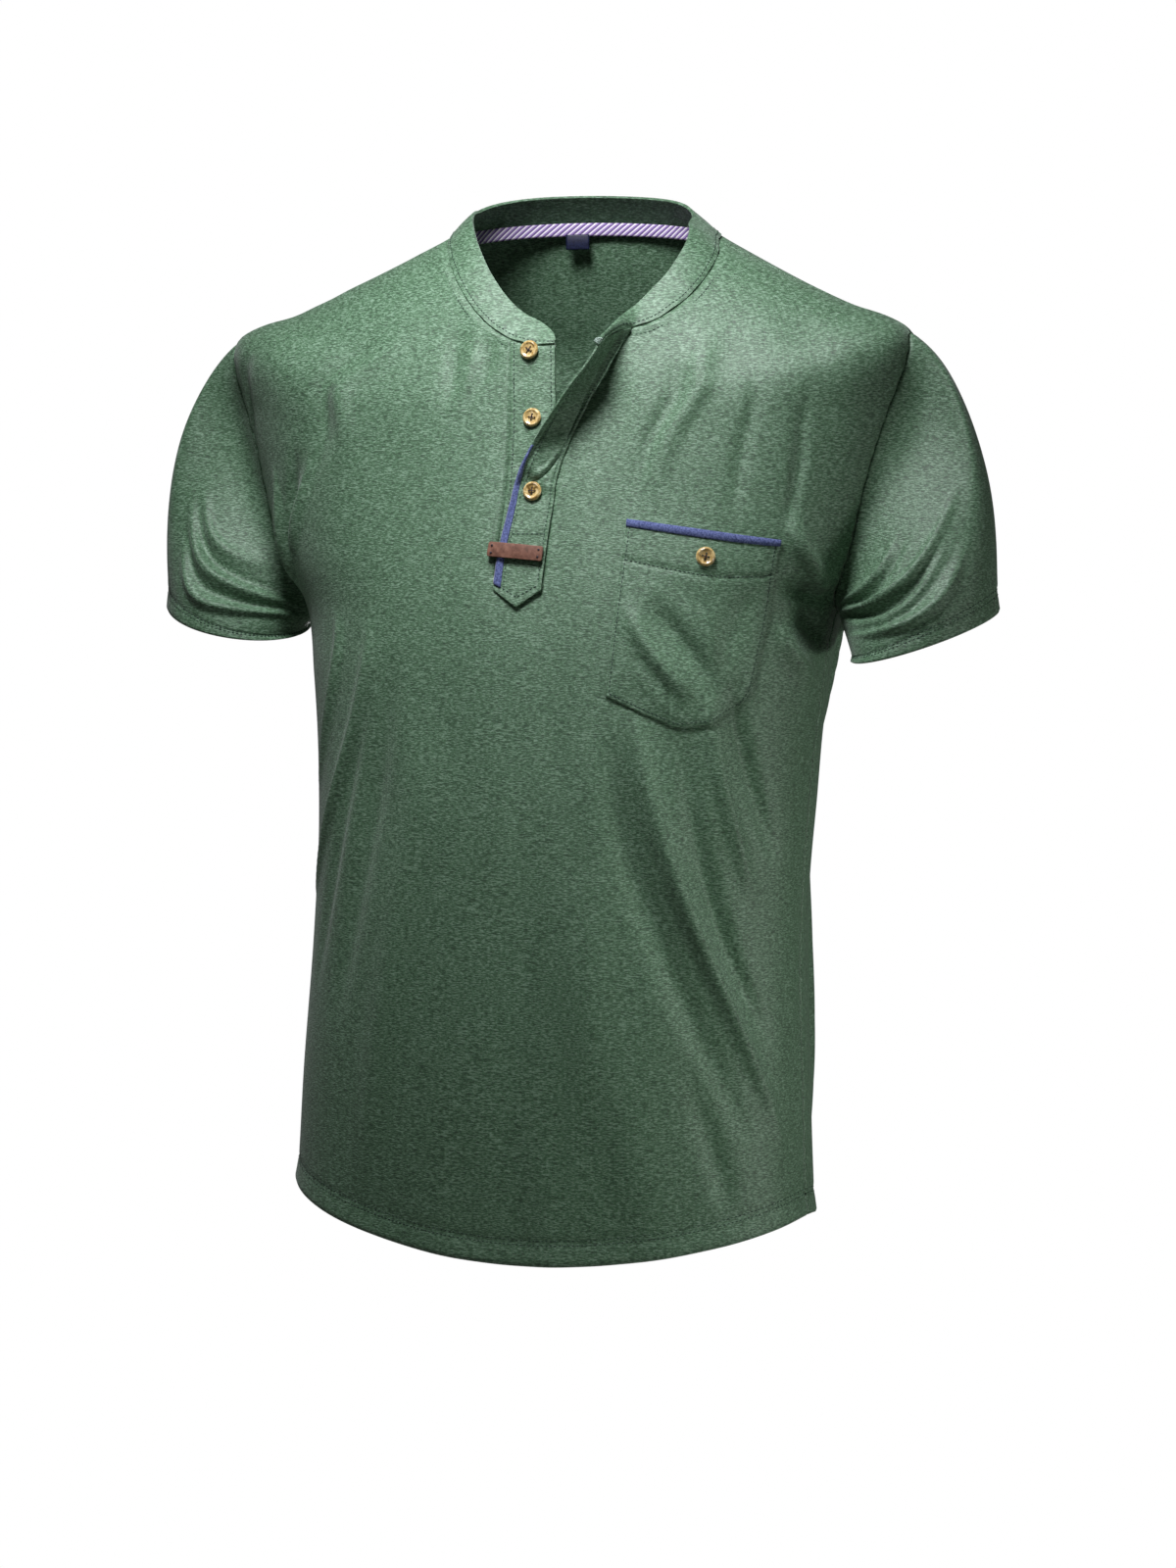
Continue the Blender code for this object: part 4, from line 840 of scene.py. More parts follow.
def placketMiddle(u, v):
    # middle of the placket's cloth: u across from the slit's edge, v up from the point
    u, v = np.broadcast_arrays(np.asarray(u, float), np.asarray(v, float))
    footZ, across, outward, down = [smoothTable(placketRows[:, 0], placketRows[:, n], v) for n in (1, 2, 3, 4)]
    shape, rise = placketShape, shirt["placketRise"]
    point = (1 - np.abs(2 * u - 1)) * shape["point"] * np.maximum(0.0, 1 - v / shape["pointShare"])
    foot, way, x = slitFoot(footZ)
    foot = foot + way * rise
    start, out = closedSpot(x, footZ)
    step = foot - start - out * rise
    flat, out = closedSpot(x - across * u, footZ - point)
    flat = flat + out * rise + step * (1 - u)[..., None]
    lifted = outward / shape["widestOpen"]
    edge = foot + stack(-across, -outward, -down)
    bend = foot + stack(-shape["bend"] + 0 * u, -0.002 - shape["bend"] * lifted, 0 * u)
    k = u[..., None]
    curl = foot * (1 - k) ** 2 + bend * (2 * k * (1 - k)) + edge * k**2
    blend = ease(lifted / 0.14)[..., None]
    return flat * (1 - blend) + curl * blend


def surfaceNormals(grid, towards=(0, -1, 0)):
    du, dv = np.gradient(grid, axis=1), np.gradient(grid, axis=0)
    n = unit(np.cross(du, dv))
    flip = np.sum(n.mean(axis=(0, 1)) * np.array(towards)) < 0
    return -n if flip else n


def forward(p):
    return Vector((0, -1, 0))


pu, pv = unitGrid(placketShape["across"] + 1, placketShape["along"] + 1)
placketGrid = placketMiddle(pu, pv)
placketNormal = surfaceNormals(placketGrid)
fromEdge = np.minimum(pu, 1 - pu) * np.interp(pv, placketRows[:, 0], placketRows[:, 2])
fromEdge = np.minimum(fromEdge, pv * 0.20 + 0.0002)
press = (0.00035 * np.sin(pv * 61 + 3 * pu) * np.sin(pv * 23 + 1) * (1 - 0.4 * pu)
         + groove(fromEdge - placketShape["needle"], 0.0009, 0.0006)
         + 0.0004 * np.exp(-((fromEdge - placketShape["rim"]) / 0.0007) ** 2))
crease = foldHeight(pu * creaseUnits, pv * 0.17, placketCreases, creaseWidth / creaseUnits, 0)
placketGrid = placketGrid + placketNormal * (press + crease)[..., None]
placket = clothPiece("placket_jersey", "placket", "heathered_jersey", placketGrid, shirt["placketWall"],
                     forward, offset=0)
turnEdge(placket, placketShape["turnedEdge"], 2)


def placketAt(u, v, lift=0.0):
    # u across from the slit's edge, v up from the point
    return gridAt(placketGrid, placketNormal, np.clip(u, 0, 1) * placketShape["across"],
                  np.clip(v, 0, 1) * placketShape["along"], lift)


# blue piping folded over the free edge, low on the placket where it shows
piping = {"width": 0.15, "lost": 0.72, "foot": 0.015, "length": 0.50, "over": 0.0006, "swell": 0.0010,
          "wall": 0.0006}
cu, cv = unitGrid(9, 70)
pipeU = 1.0 - piping["width"] * (1 - piping["lost"] * ease((cv - 0.35) / 0.65)) * (1 - cu) + 0.018 * cu
pipePoint, pipeNormal = placketAt(np.minimum(pipeU, 1.0), piping["foot"] + piping["length"] * cv)
pipeOver = (pipeU > 1.0)[..., None] * unit(placketGrid[0, -1] - placketGrid[0, -3]) * piping["over"]
pipeRound = np.sin(pi * np.clip(cu, 0.04, 0.96)) ** 0.6
pipeLift = shirt["placketWall"] / 2 + 0.0001 + piping["swell"] * pipeRound
placketPiping = clothPiece("placket_piping_cloth", "placket_piping", "blue_jersey",
                           pipePoint + pipeNormal * pipeLift[..., None] + pipeOver, piping["wall"], forward)

# button stand under the placket
standShape = {"foot": -0.2300, "neckZ": -0.075, "tuck": 0.0004, "sunk": 0.0002, "needle": 0.0026,
              "wall": 0.0018}
standCreases = (
    (4.0, -0.104, 20.0, -0.098, 40.0, -0.086, 0.0035, -0.0010),
    (6.0, -0.150, 22.0, -0.158, 44.0, -0.168, 0.0035, -0.0009),
    (30.0, -0.115, 34.0, -0.130, 30.0, -0.145, 0.0040, 0.0008))
su, sv = unitGrid(17, 60)
topX = lineX(standShape["neckZ"]) - shirt["slitHalf"] + shirt["standWidth"] * su
topTurn = np.degrees(np.arcsin((topX - ring(1.0)["middleX"]) / ring(1.0)["halfWidth"]))
standTop = closedForm(topTurn, np.ones_like(topTurn))[..., 2] - 0.0001
standZ = standShape["foot"] + (standTop - standShape["foot"]) * sv
standX = (lineX(standZ) - shirt["slitHalf"] - standShape["tuck"]
          + (shirt["standWidth"] + standShape["tuck"]) * su)
standPoint, standOut = closedSpot(standX, standZ)
fromStandEdge = np.minimum(su, 1 - su) * shirt["standWidth"]
standRelief = (-standShape["sunk"] + groove(fromStandEdge - standShape["needle"], 0.0008, 0.0003)
               + foldHeight(su * creaseUnits, standZ, standCreases, creaseWidth / creaseUnits, 0))
stand = clothPiece("stand_jersey", "button_stand", "heathered_jersey",
                   standPoint + standOut * standRelief[..., None], standShape["wall"], forward)

# collar band, from the wearer's right front end round the back to the left front end
band = {"firstTurn": 6.8, "outSteps": 16, "steps": 10, "sunk": 0.0004, "endHeight": 0.0032, "roundEnd": 0.030,
        "taperEnd": 0.060, "leanFront": 46.0, "leanBack": 41.0, "leanSide": 9.0, "settled": 46, "passes": 170,
        "swell": 0.0007, "pucker": 0.00035, "puckerLength": 0.021, "turnedEdge": 0.0007, "row": 0.13}
neckMiddle = (0.0037, -0.010)


def towardsNeck(points):
    # level, towards the middle of the neck
    return unit(stack(neckMiddle[0] - points[..., 0], neckMiddle[1] - points[..., 1], 0 * points[..., 0]))


def neckward(p):
    return Vector((neckMiddle[0] - p.x, neckMiddle[1] - p.y, 0))


bandTurns = np.concatenate([np.linspace(band["firstTurn"], -90, 90)[:-1], np.linspace(-90, -270, 120)[:-1],
                            np.linspace(-270, -360 + ring(1.0)["slitLeft"], 84)])
wrapped = np.where(bandTurns < -180, bandTurns + 360, bandTurns)
seamPoints = form(wrapped, np.ones(len(wrapped)))
for _ in range(6):      # rounds the short turn where the pulled-open side meets the shoulder seam
    seamPoints[1:-1] = seamPoints[1:-1] * 0.5 + (seamPoints[:-2] + seamPoints[2:]) * 0.25
alongBand = unit(np.gradient(seamPoints, axis=0))
inward = towardsNeck(seamPoints)
backShare = ease((np.abs(wrapped) - 95) / 60)
lean = np.radians(band["leanFront"] * (1 - backShare) + band["leanBack"] * backShare
                  + band["leanSide"] * np.exp(-((wrapped - 105) / 32) ** 2))
bandUp = np.array((0, 0, 1)) * np.cos(lean)[:, None] + inward * np.sin(lean)[:, None]
bandUp = unit(bandUp - alongBand * np.sum(bandUp * alongBand, axis=1, keepdims=True))
turnOut = np.arange(1, band["outSteps"] + 1) / band["outSteps"]
outPoints = placketMiddle(turnOut, np.ones(band["outSteps"])) + np.array((0, 0, 0.0024))
outUp = unit(bandUp[-1] * (1 - turnOut)[:, None] + np.array((0.10, 0.45, 0.88)) * turnOut[:, None])
bandPath = np.concatenate([seamPoints, outPoints])
bandUp = np.concatenate([bandUp, outUp])
fromFirst = np.linalg.norm(bandPath - bandPath[0], axis=1)
fromLast = np.linalg.norm(bandPath - bandPath[-1], axis=1)
index = np.arange(len(bandPath))
roundedEnd = np.sqrt(np.maximum(0.0, 1 - (1 - np.minimum(fromFirst / band["roundEnd"], 1.0)) ** 2))
roundedEnd = np.where(index < 60, roundedEnd, 1.0)
taperedEnd = np.where(index > len(bandPath) - 60, np.minimum(fromLast / band["taperEnd"], 1.0), 1.0)
bandTall = band["endHeight"] + (shirt["bandHeight"] - band["endHeight"]) * np.minimum(roundedEnd, taperedEnd)
bandV = np.linspace(0, 1, band["steps"] + 1)[:, None]
bandGrid = bandPath[None] + bandUp[None] * (band["sunk"] + bandTall[None, :] * bandV)[..., None]
end = band["settled"]
for _ in range(band["passes"]):      # the upper edge runs smoothly down to the turned-out end
    eased = bandGrid[:, -end:-1] * 0.5 + (bandGrid[:, -end - 1:-2] + bandGrid[:, -end + 1:]) * 0.25
    bandGrid[:, -end:-1] += (eased - bandGrid[:, -end:-1]) * bandV[..., None]
bandNormal = surfaceNormals(bandGrid, towards=(0, 0, 0))
bandCentre = bandGrid.mean(axis=(0, 1))
if np.sum((bandGrid - bandCentre) * bandNormal, axis=2).mean() < 0:
    bandNormal = -bandNormal
bandRun = np.concatenate([[0], np.cumsum(np.linalg.norm(np.diff(bandPath, axis=0), axis=1))])
bandRelief = band["swell"] * np.sin(pi * np.clip(bandV, 0.03, 0.97)) ** 0.7 * np.ones_like(bandRun)[None]
bandPucker = np.sin(bandRun * 2 * pi / band["puckerLength"] + 2 * np.sin(bandRun * 17))
bandRelief = bandRelief + band["pucker"] * bandPucker[None] * (1 - bandV)
bandGrid = bandGrid + bandNormal * bandRelief[..., None]
collar = clothPiece("collar_jersey", "collar", "heathered_jersey", bandGrid, shirt["bandWall"],
                    lambda p: p - Vector(bandCentre), offset=0)
turnEdge(collar, band["turnedEdge"], 3)
print("neck ready")

# pocket: a panel on the chest, its foot a flat V with a slanting corner
pocketCorners = {"topLeft": (0.0722, -0.1925), "topRight": (0.1680, -0.2062),
                 "lowLeft": (0.0641, -0.3073), "lowRight": (0.1515, -0.3015)}
pocketFoot = np.array(((0.0, 0.0), (0.51, -0.0240), (0.72, -0.0234), (0.92, -0.0132), (1.0, 0.0)))
pocketShape = {"across": 56, "down": 70, "width": 0.097, "length": 0.118, "mouthBand": 0.0262,
               "needle": 0.0022, "rise": 0.0013, "belly": 0.0016, "pucker": 0.00018, "wall": 0.0011}
pocketFolds = (     # millimetres across and metres down
    (62.0, 0.038, 64.0, 0.062, 76.0, 0.085, 0.0055, 0.0012),
    (20.0, 0.034, 16.0, 0.060, 14.0, 0.095, 0.0080, 0.0010),
    (40.0, 0.026, 46.0, 0.040, 60.0, 0.046, 0.0045, -0.0009),
    (84.0, 0.034, 78.0, 0.058, 70.0, 0.098, 0.0065, -0.0012),
    (10.0, 0.090, 34.0, 0.104, 52.0, 0.118, 0.0060, 0.0009))


def pocketSpot(a, b):
    # x and z on the pocket: a across from its left, b down from its mouth
    c = {k: np.array(v) for k, v in pocketCorners.items()}
    a, b = np.broadcast_arrays(np.asarray(a, float), np.asarray(b, float))
    top = c["topLeft"] * (1 - a)[..., None] + c["topRight"] * a[..., None]
    low = c["lowLeft"] * (1 - a)[..., None] + c["lowRight"] * a[..., None]
    low = low + stack(0 * a, np.interp(a, pocketFoot[:, 0], pocketFoot[:, 1]), 0 * a)[..., :2]
    spot = top * (1 - b)[..., None] + low * b[..., None]
    return spot[..., 0], spot[..., 1]


def chestward(p):
    return Vector((0.4, -1, 0))


qa, qb = np.meshgrid(np.linspace(0, 1, pocketShape["across"] + 1), np.linspace(1, 0, pocketShape["down"] + 1))
across, down = qa * pocketShape["width"], qb * pocketShape["length"]
fromSide = np.minimum(np.minimum(across, pocketShape["width"] - across),
                      np.maximum(0.0, pocketShape["length"] - down))
fromBand = down - pocketShape["mouthBand"]
pocketRelief = (pocketShape["belly"] * np.sin(pi * qa) * np.sin(pi * np.clip((1 - qb) * 1.05, 0, 1)) ** 0.8
                + groove(fromSide - pocketShape["needle"], 0.0011, 0.0007) + groove(fromBand, 0.0012, 0.0010)
                + pocketShape["pucker"] * np.sin(2 * pi * across / 0.009 + 2 * np.sin(across * 60))
                * np.exp(-(fromBand / 0.005) ** 2)
                + foldHeight(across * 1000, down, pocketFolds, 0.001, 0) * ease(fromSide / 0.012))
pocketAngle, pocketLevel = frontAt(*pocketSpot(qa, qb))
pocketNormal = formNormal(pocketAngle, pocketLevel)
pocketGrid = (panelPoint(pocketAngle, pocketLevel)
              + pocketNormal * (pocketShape["rise"] + pocketRelief)[..., None])
pocket = clothPiece("pocket_jersey", "pocket", "heathered_jersey", pocketGrid, pocketShape["wall"], chestward)


def pocketAt(a, b, lift=0.0):
    return gridAt(pocketGrid, pocketNormal, np.clip(a, 0, 1) * pocketShape["across"],
                  (1 - np.clip(b, 0, 1)) * pocketShape["down"], lift)


mouthPiping = {"depth": 0.038, "swell": 0.0011, "above": 0.0006, "wall": 0.0007}
ma, mb = unitGrid(70, 9)
mouth, mouthNormal = pocketAt(ma, mouthPiping["depth"] * mb)
mouthRound = 0.0002 + mouthPiping["swell"] * np.sin(pi * np.clip(mb, 0.05, 0.95)) ** 0.6
mouthGrid = (mouth + mouthNormal * mouthRound[..., None]
             + np.array((0, 0, mouthPiping["above"])) * (1 - mb)[..., None])
pocketPiping = clothPiece("pocket_piping_cloth", "pocket_piping", "blue_jersey", mouthGrid,
                          mouthPiping["wall"], chestward)

# striped tape over the back neck seam and the bare size label
neckTape = {"firstTurn": 100, "turn": 160, "off": 0.0034, "wall": 0.0006}
sizeLabel = {"x": -0.0255, "width": 0.0170, "height": 0.0105, "below": 0.0075, "off": 0.0046, "wall": 0.0006}


def backwards(turn):
    return np.where(turn > 180, turn - 360, turn)


tu, tv = unitGrid(121, 7)
tapeTurn = backwards(neckTape["firstTurn"] + neckTape["turn"] * tu)
tapeSeam = form(tapeTurn, np.ones_like(tapeTurn))
tapeOff = neckTape["off"] - 0.0006 * (1 - tv) + 0.0004 * np.sin(pi * tv) + 0.0002 * np.sin(tu * 70)
tapeGrid = (tapeSeam + towardsNeck(tapeSeam) * tapeOff[..., None]
            + np.array((0, 0, 1)) * (0.0004 - shirt["tapeHeight"] * (1 - tv))[..., None])
tape = clothPiece("neck_tape_woven", "neck_tape", "striped_tape", tapeGrid, neckTape["wall"], neckward)
lu, lv = unitGrid(13, 13)
labelX = sizeLabel["x"] + sizeLabel["width"] * (0.5 - lu)
labelTurn = backwards(180 - np.degrees(np.arcsin((labelX - neckMiddle[0]) / ringRows[-1, 1])))
labelSeam = form(labelTurn, np.ones_like(labelTurn))
labelOff = sizeLabel["off"] + 0.0008 * (1 - lv) + 0.0004 * np.sin(pi * lv)
labelGrid = (labelSeam + towardsNeck(labelSeam) * labelOff[..., None]
             + np.array((0, 0, 1)) * (-sizeLabel["below"] - sizeLabel["height"] * (1 - lv))[..., None])
label = clothPiece("size_label_satin", "size_label", "navy_satin", labelGrid, sizeLabel["wall"], neckward)
print("pocket, tape and label ready")

# buttons: a domed rim round a dished middle, four holes, thread crossed through them
button = {"radius": 0.0064, "height": 0.0026, "holeRadius": 0.00072, "holeOffset": 0.0015, "steps": 40,
          "clear": 0.0003, "strand": (0.0026, 0.00036, 0.00036), "strandUp": 0.0023}


def buttonMesh():
    r, h = button["radius"], button["height"]
    profile = ((0.0, 0.0), (0.0042, 0.0), (0.0056, 0.0004), (r - 0.00015, 0.0009), (r, 0.0013),
               (r - 0.0002, 0.0018), (0.0056, 0.0023), (0.0051, h), (0.0046, 0.0025), (0.0042, 0.0022),
               (0.0036, 0.0019), (0.0, 0.0018))
    bm = bmesh.new()
    dots = [bm.verts.new((x, 0, z)) for x, z in profile]
    edges = [bm.edges.new(pair) for pair in zip(dots, dots[1:])]
    bmesh.ops.spin(bm, geom=dots + edges, cent=(0, 0, 0), axis=(0, 0, 1), angle=2 * pi, steps=button["steps"],
                   use_merge=True, use_duplicate=False)
    bmesh.ops.remove_doubles(bm, verts=bm.verts[:], dist=1e-6)
    bmesh.ops.recalc_face_normals(bm, faces=bm.faces[:])
    solid = bpy.data.objects.new("turned", meshOf("turned", bm))
    bpy.context.scene.collection.objects.link(solid)
    drills = []
    for k in range(4):
        bm = bmesh.new()
        at = Matrix.Translation((button["holeOffset"] * (1 if k % 2 else -1),
                                 button["holeOffset"] * (1 if k < 2 else -1), 0.001))
        bmesh.ops.create_cone(bm, cap_ends=True, segments=12, radius1=button["holeRadius"],
                              radius2=button["holeRadius"], depth=0.008, matrix=at)
        drill = bpy.data.objects.new("drill", meshOf("drill", bm))
        bpy.context.scene.collection.objects.link(drill)
        cut = solid.modifiers.new("hole", "BOOLEAN")
        cut.object, cut.solver = drill, "EXACT"
        drills.append(drill)
    done = bpy.data.meshes.new_from_object(solid.evaluated_get(bpy.context.evaluated_depsgraph_get()))
    for o in drills + [solid]:
        bpy.data.objects.remove(o, do_unlink=True)
    return done


def placedAt(at, out, turn):
    place = Vector(out).to_track_quat("Z", "Y").to_matrix().to_4x4() @ Matrix.Rotation(radians(turn), 4, "Z")
    place.translation = Vector(at)
    return place


def smoothPiece(name, node, material, mesh, sharpFrom=40.0):
    for f in mesh.polygons:
        f.use_smooth = True
    mesh.set_sharp_from_angle(angle=radians(sharpFrom))
    return addPiece(name, mesh, material, node)


turnedButton = buttonMesh()
clear, face = button["clear"], shirt["placketWall"] / 2
buttonSpots = (     # name, point and normal under it, height over that point, turn
    ("button_1", closedSpot(np.array(-0.0022), np.array(-0.0800)), clear, 12.0),
    ("button_2", closedSpot(np.array(0.0028), np.array(-0.1250)), clear, 38.0),
    ("button_3", placketAt(np.array(0.54), np.array(0.300)), face + clear, 45.0),
    ("pocket_button", pocketAt(np.array(0.555), np.array(0.130)), clear, 30.0))
buttonThreads = []
for name, (p, n), over, turn in buttonSpots:
    mesh = turnedButton.copy()
    place = placedAt(p + n * over, n, turn)
    mesh.transform(place)
    smoothPiece(name + "_horn", name, hornFace, mesh)
    for k, tilt in enumerate((45, -45)):
        strand = place @ Matrix.Translation((0, 0, button["strandUp"] + 0.0003 * k))
        strand = strand @ Matrix.Rotation(radians(tilt), 4, "Z") @ Matrix.Diagonal((*button["strand"], 1))
        buttonThreads.append(bead(strand, up=8))
crossedThread = sewing("button_threads", buttonThreads, blackThread)
print("buttons ready")

# leather tab over the placket, sewn at both ends
tab = {"x": -0.0010, "z": -0.2140, "length": 0.0390, "width": 0.0100, "thick": 0.0015, "corner": 0.0016,
       "edge": 0.00035, "tilt": -5.0, "over": 0.0025, "bow": 0.0006, "lifted": 0.00025, "holeX": 0.0166,
       "holeY": 0.0024, "knot": (0.00085, 0.00085, 0.0004)}
bm = bmesh.new()
bmesh.ops.create_cube(bm, size=1.0, matrix=Matrix.Diagonal((tab["length"], tab["width"], tab["thick"], 1)))
upright = [e for e in bm.edges if abs(e.verts[0].co.z - e.verts[1].co.z) > 0.001]
bmesh.ops.bevel(bm, geom=upright, offset=tab["corner"], offset_type="OFFSET", affect="EDGES", segments=5,
                profile=0.5, material=-1)
rim = [e for e in bm.edges if abs(e.verts[0].co.z - e.verts[1].co.z) < 1e-6]
bmesh.ops.bevel(bm, geom=rim, offset=tab["edge"], offset_type="OFFSET", affect="EDGES", segments=3,
                profile=0.5, material=-1)
for x in np.linspace(-0.45, 0.45, 13) * tab["length"]:
    bmesh.ops.bisect_plane(bm, geom=bm.verts[:] + bm.edges[:] + bm.faces[:], dist=1e-7, plane_co=(x, 0, 0),
                           plane_no=(1, 0, 0))
for v in bm.verts:      # a slight bow over the chest and a lifted corner
    v.co.z += (-tab["bow"] * (v.co.x / (tab["length"] / 2)) ** 2
               + tab["lifted"] * sin(v.co.x * 420) * (0.5 + v.co.y * 90))
p, n = closedSpot(np.array(tab["x"]), np.array(tab["z"]))
tabPlace = placedAt(p + n * (shirt["placketRise"] + tab["thick"] / 2 + tab["over"]), n, tab["tilt"])
bmesh.ops.transform(bm, matrix=tabPlace, verts=bm.verts[:])
hide = meshOf("leather_tab_hide", bm)
smoothPiece("leather_tab_hide", "leather_tab", leatherHide, hide, sharpFrom=60.0)
tabKnots = [bead(tabPlace @ Matrix.Translation((x, y, 0.0005)) @ Matrix.Diagonal((*tab["knot"], 1)), 12)
            for x in (-tab["holeX"], tab["holeX"]) for y in (-tab["holeY"], tab["holeY"])]
sewing("tab_threads", tabKnots, blackThread)


# sewing: the hem, the cuffs, the neck seam, the band, the placket, the stand and the pocket
def levelOver(angle, height):
    # level of the point at a cloth height over the hem
    t = np.full(np.shape(angle), 0.02)
    for _ in range(4):
        t = t * height / np.maximum(aboveHem(angle, t), 1e-6)
    return t


def bodyRow(turn, level):
    return sewnRow(panelPoint(turn, level), formNormal(turn, level))


hemTurn = np.linspace(-180, 180, 700)
hemRows = [bodyRow(hemTurn, levelOver(hemTurn, height))
           for height in (hem["height"], hem["height"] - hem["needleGap"])]
hemThread = sewing("hem_threads", hemRows, greenThread)
cuffThreads = {}
for which in ("right", "left"):
    rows = [sewnRow(*sleevePoint(which, np.linspace(0, 360, 240), np.full(240, 1 - height / sleeveLength)))
            for height in (cuff["height"], cuff["height"] - cuff["needleGap"])]
    cuffThreads[which] = sewing("cuff_%s_threads" % which, rows, greenThread)
neckTurn = backwards(np.linspace(ring(1.0)["slitLeft"] + 0.6, 360 + ring(1.0)["slitRight"] - 0.6, 500))
speed = np.linalg.norm(form(neckTurn, np.full(500, 0.990)) - form(neckTurn, np.ones(500)), axis=1) / 0.010
neckThread = sewing("neck_threads", [bodyRow(neckTurn, 1 - seam["neckThread"] / speed)], greenThread)
rowAt = band["row"] * band["steps"]
low = int(rowAt)
bandLine = bandGrid[low] * (1 - (rowAt - low)) + bandGrid[low + 1] * (rowAt - low)
bandOut = unit(bandNormal[low])
bandLine = bandLine + bandOut * (shirt["bandWall"] / 2)
bandThread = sewing("collar_threads", [sewnRow(bandLine, bandOut)], greenThread)
wraps = []      # bartack where the collar ends on the placket's free edge
for k in range(4):
    at = Matrix.Translation(Vector(bandPath[-1]) + Vector((0.0007 * k - 0.0006, -0.0004, 0.0008 * k)))
    at = at @ Matrix.Rotation(radians(35 - 9 * k), 4, "Y")
    wraps.append(bead(at @ Matrix.Diagonal((0.0026, 0.0010, 0.0007, 1))))
bartack = sewing("collar_bartack", wraps, knotThread)
up, over = np.linspace(0.03, 0.985, 220), np.linspace(0.09, 0.91, 90)      # shares of the placket
placketRowsSewn = ((np.full(220, 0.085), up), (np.full(220, 0.80), up), (over, np.full(90, 0.018)),
                   (over, np.full(90, 0.150)))
placketThread = sewing("placket_threads", [sewnRow(*placketAt(u, v, face)) for u, v in placketRowsSewn],
                       paleThread)
standRows = []
for u in (0.085, 0.915):
    x = lineX(standZ[:, 0]) - shirt["slitHalf"] + 0.0003 + (shirt["standWidth"] - 0.0003) * u
    p, n = closedSpot(x, standZ[:, 0])
    standRows.append(sewnRow(p - n * 0.0003, n))
standThread = sewing("stand_threads", standRows, greenThread)
edgeA = np.concatenate([np.full(60, 0.024), np.linspace(0.024, 0.976, 120), np.full(60, 0.976)])
edgeB = np.concatenate([np.linspace(0.03, 0.978, 60), np.full(120, 0.978), np.linspace(0.978, 0.03, 60)])
pocketRows = [sewnRow(*pocketAt(edgeA, edgeB)),
              sewnRow(*pocketAt(np.linspace(0.02, 0.98, 90), np.full(90, 0.222)))]
pocketThread = sewing("pocket_threads", pocketRows, greenThread)
print("sewing ready")

# cloth as cut, in metres: width and length, flat area; how it is held, what it rests on and what goes with it
cuts = {
    "front": (front, (0.56, 0.68), 0.300, "hung", "collar_jersey", [hemThread, neckThread, crossedThread]),
    "back": (back, (0.56, 0.74), 0.330, "hung", "collar_jersey", []),
    "sleeve_right": (sleevePieces["right"], (0.40, 0.20), 0.041, "hung", "front_jersey",
                     [cuffThreads["right"]]),
    "sleeve_left": (sleevePieces["left"], (0.40, 0.20), 0.041, "hung", "front_jersey", [cuffThreads["left"]]),
    "collar": (collar, (0.52, 0.024), 0.0115, "stretched", "front_jersey", [bandThread, bartack]),
    "placket": (placket, (0.034, 0.190), 0.0045, "hung", "front_jersey", [placketThread, placketPiping]),
    "stand": (stand, (0.032, 0.155), None, "hung", "front_jersey", [standThread]),
    "pocket": (pocket, (0.100, 0.142), 0.0124, "hung", "front_jersey", [pocketThread, pocketPiping]),
    "tape": (tape, (0.205, 0.010), None, "stretched", "back_jersey", []),
    "label": (label, (0.017, 0.0105), None, "stretched", "back_jersey", [])}
for name, (piece, flat, area, held, restsOn, going) in cuts.items():
    clothArea = sum(f.area for f in piece.data.polygons)
    print(name, "cloth area", round(clothArea, 5), "cut", area or round(flat[0] * flat[1], 5))

# floor, walls, lamps and camera
studio = {"floorZ": -1.46, "floorHalf": 1.6, "floorPaint": "#f4f3f0", "floorGlow": 0.75, "ambient": 0.07}
lamps = (       # metres towards the camera, to its right and up; aim, size, watts, spread in degrees, colour
    ("key", (0.413, -0.150, 0.50), (0, -0.12, -0.22), 0.30, 3.0, 92, "#faf6ff"),
    ("side", (0.9, 1.7, -0.75), (0.06, -0.08, -0.50), 0.5, 0.46, 30, "#ffffff"),
    ("back", (-2.2, 0.0, -0.40), (0, 0, -0.35), 0.8, 2.2, 60, "#ffffff"))
shot = {"turn": 20.0, "away": 2.85, "height": -0.205, "focal": 4232.0, "originX": 593.0, "horizonY": 550.0,
        "frame": (1200, 1600)}
bm = bmesh.new()
bmesh.ops.create_grid(bm, x_segments=4, y_segments=4, size=studio["floorHalf"],
                      matrix=Matrix.Translation((0, 0, studio["floorZ"])))
floor = bpy.data.objects.new("floor", meshOf("floor", bm))
bpy.context.scene.collection.objects.link(floor)
paint, tree = newMaterial("floorPaint")      # matt off-white paint; its glow is seen and lights nothing
rays = addNode(tree, "LightPath")
glow = addNode(tree, "Math", {"operation": "MULTIPLY"}, i0=rays.outputs["Is Camera Ray"],
               i1=studio["floorGlow"])
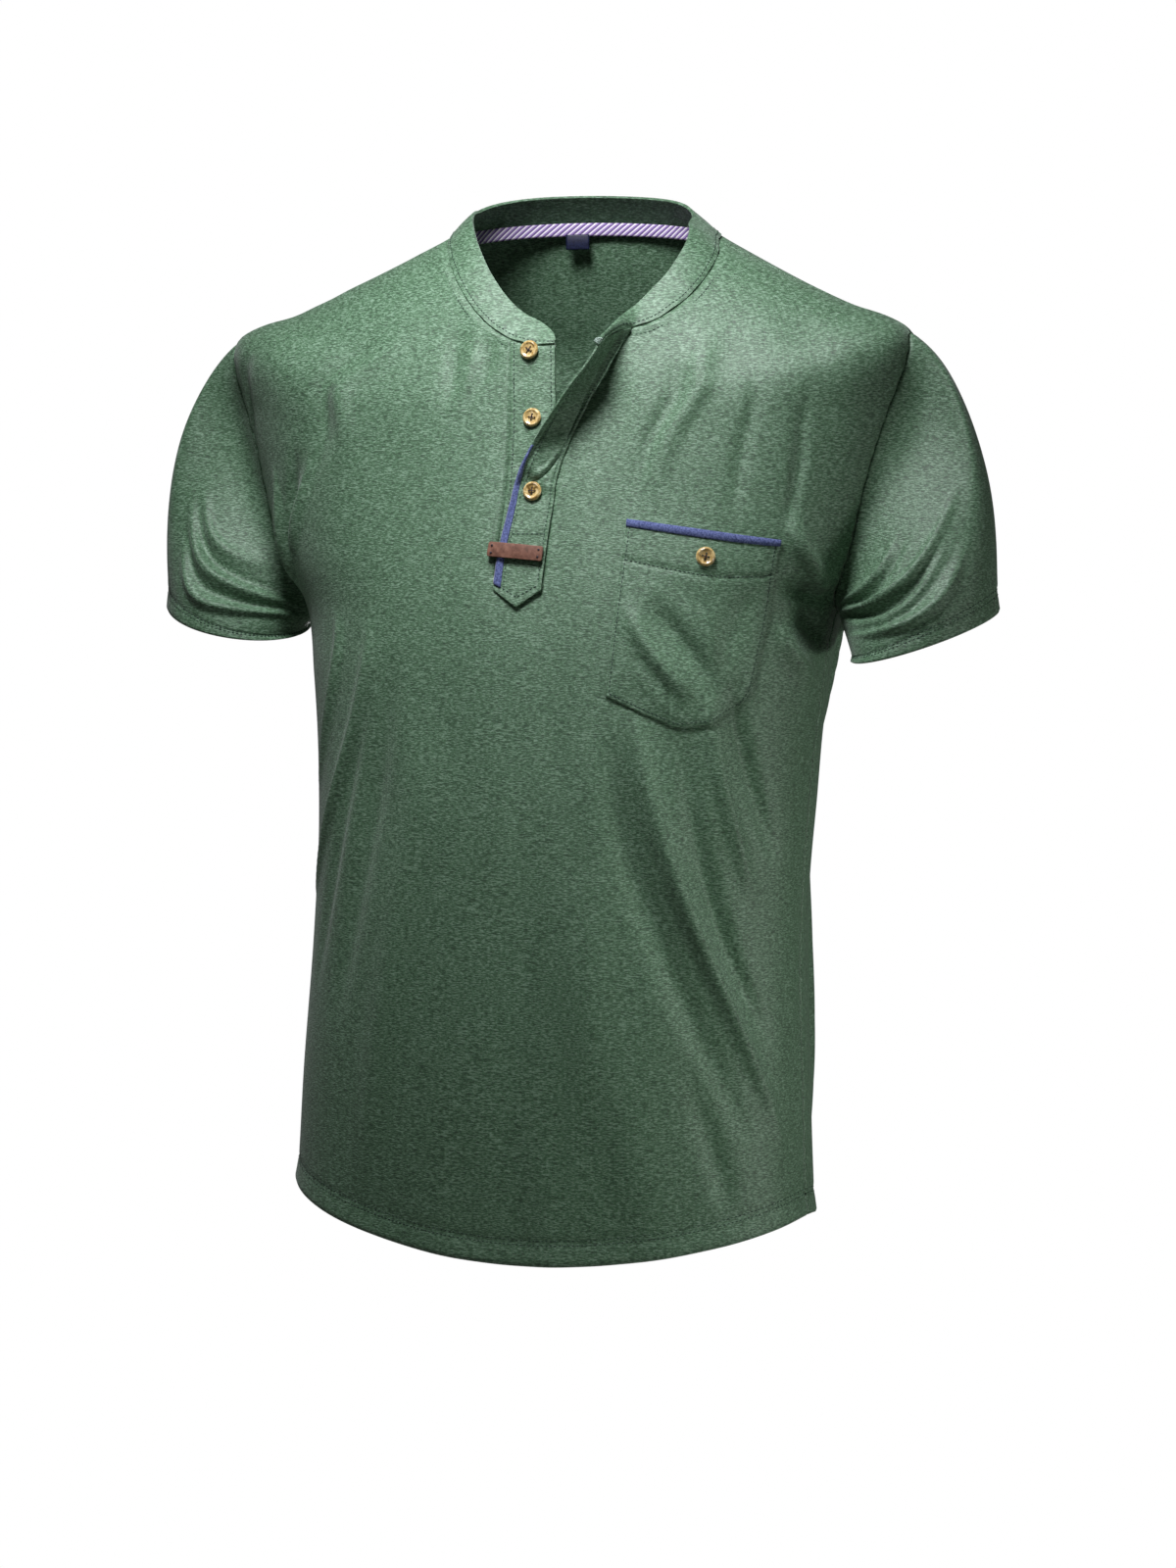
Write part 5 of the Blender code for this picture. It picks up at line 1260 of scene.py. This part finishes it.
principled(tree, Base_Color=linear(studio["floorPaint"]), Roughness=0.9,
           Emission_Color=linear(studio["floorPaint"]), Emission_Strength=glow.outputs[0])
floor.data.materials.append(paint)

world = bpy.data.worlds.new("studio")       # a white wall that gives only the ambient light
bpy.context.scene.world = world
world.use_nodes = True
tree = world.node_tree
tree.nodes.clear()
rays = addNode(tree, "LightPath")
dim = addNode(tree, "Background", Color=(1.0, 1.0, 1.0, 1), Strength=studio["ambient"])
white = addNode(tree, "Background", Color=(1.0, 1.0, 1.0, 1), Strength=1.0)
either = addNode(tree, "MixShader", i0=rays.outputs["Is Camera Ray"], i1=dim.outputs[0], i2=white.outputs[0])
addNode(tree, "OutputWorld", Surface=either.outputs[0])
bpy.context.scene.view_settings.view_transform = "Standard"

a = radians(shot["turn"])
backWay = Vector((sin(a), -cos(a), 0))
rightWay = Vector((cos(a), sin(a), 0))
for name, (near, right, up), aim, size, watts, spread, colour in lamps:
    data = bpy.data.lights.new(name, "AREA")
    data.shape, data.size, data.energy = "DISK", size, watts
    data.spread = radians(spread)      # a narrow spread is a softbox behind a grid
    data.color = linear(colour)[:3]
    lamp = bpy.data.objects.new(name, data)
    lamp.location = backWay * near + rightWay * right + Vector((0, 0, up))
    lamp.rotation_euler = (Vector(aim) - lamp.location).to_track_quat("-Z", "Y").to_euler()
    bpy.context.scene.collection.objects.link(lamp)

data = bpy.data.cameras.new("camera")
data.sensor_width = 36.0
data.sensor_fit = "AUTO"
frameWide, frameTall = shot["frame"]
data.lens = data.sensor_width * shot["focal"] / frameTall
camera = bpy.data.objects.new("camera", data)
camera.location = backWay * shot["away"] + Vector((0, 0, shot["height"]))
pitch = atan((frameTall / 2 - shot["horizonY"]) / shot["focal"])
yaw = atan((shot["originX"] - frameWide / 2) / shot["focal"])
look = -backWay * cos(yaw) - rightWay * sin(yaw)
look = look * cos(pitch) - Vector((0, 0, sin(pitch)))
camera.rotation_euler = look.to_track_quat("-Z", "Y").to_euler()
bpy.context.scene.collection.objects.link(camera)
bpy.context.scene.camera = camera

for piece, flat, area, held, restsOn, going in cuts.values():
    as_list(going)
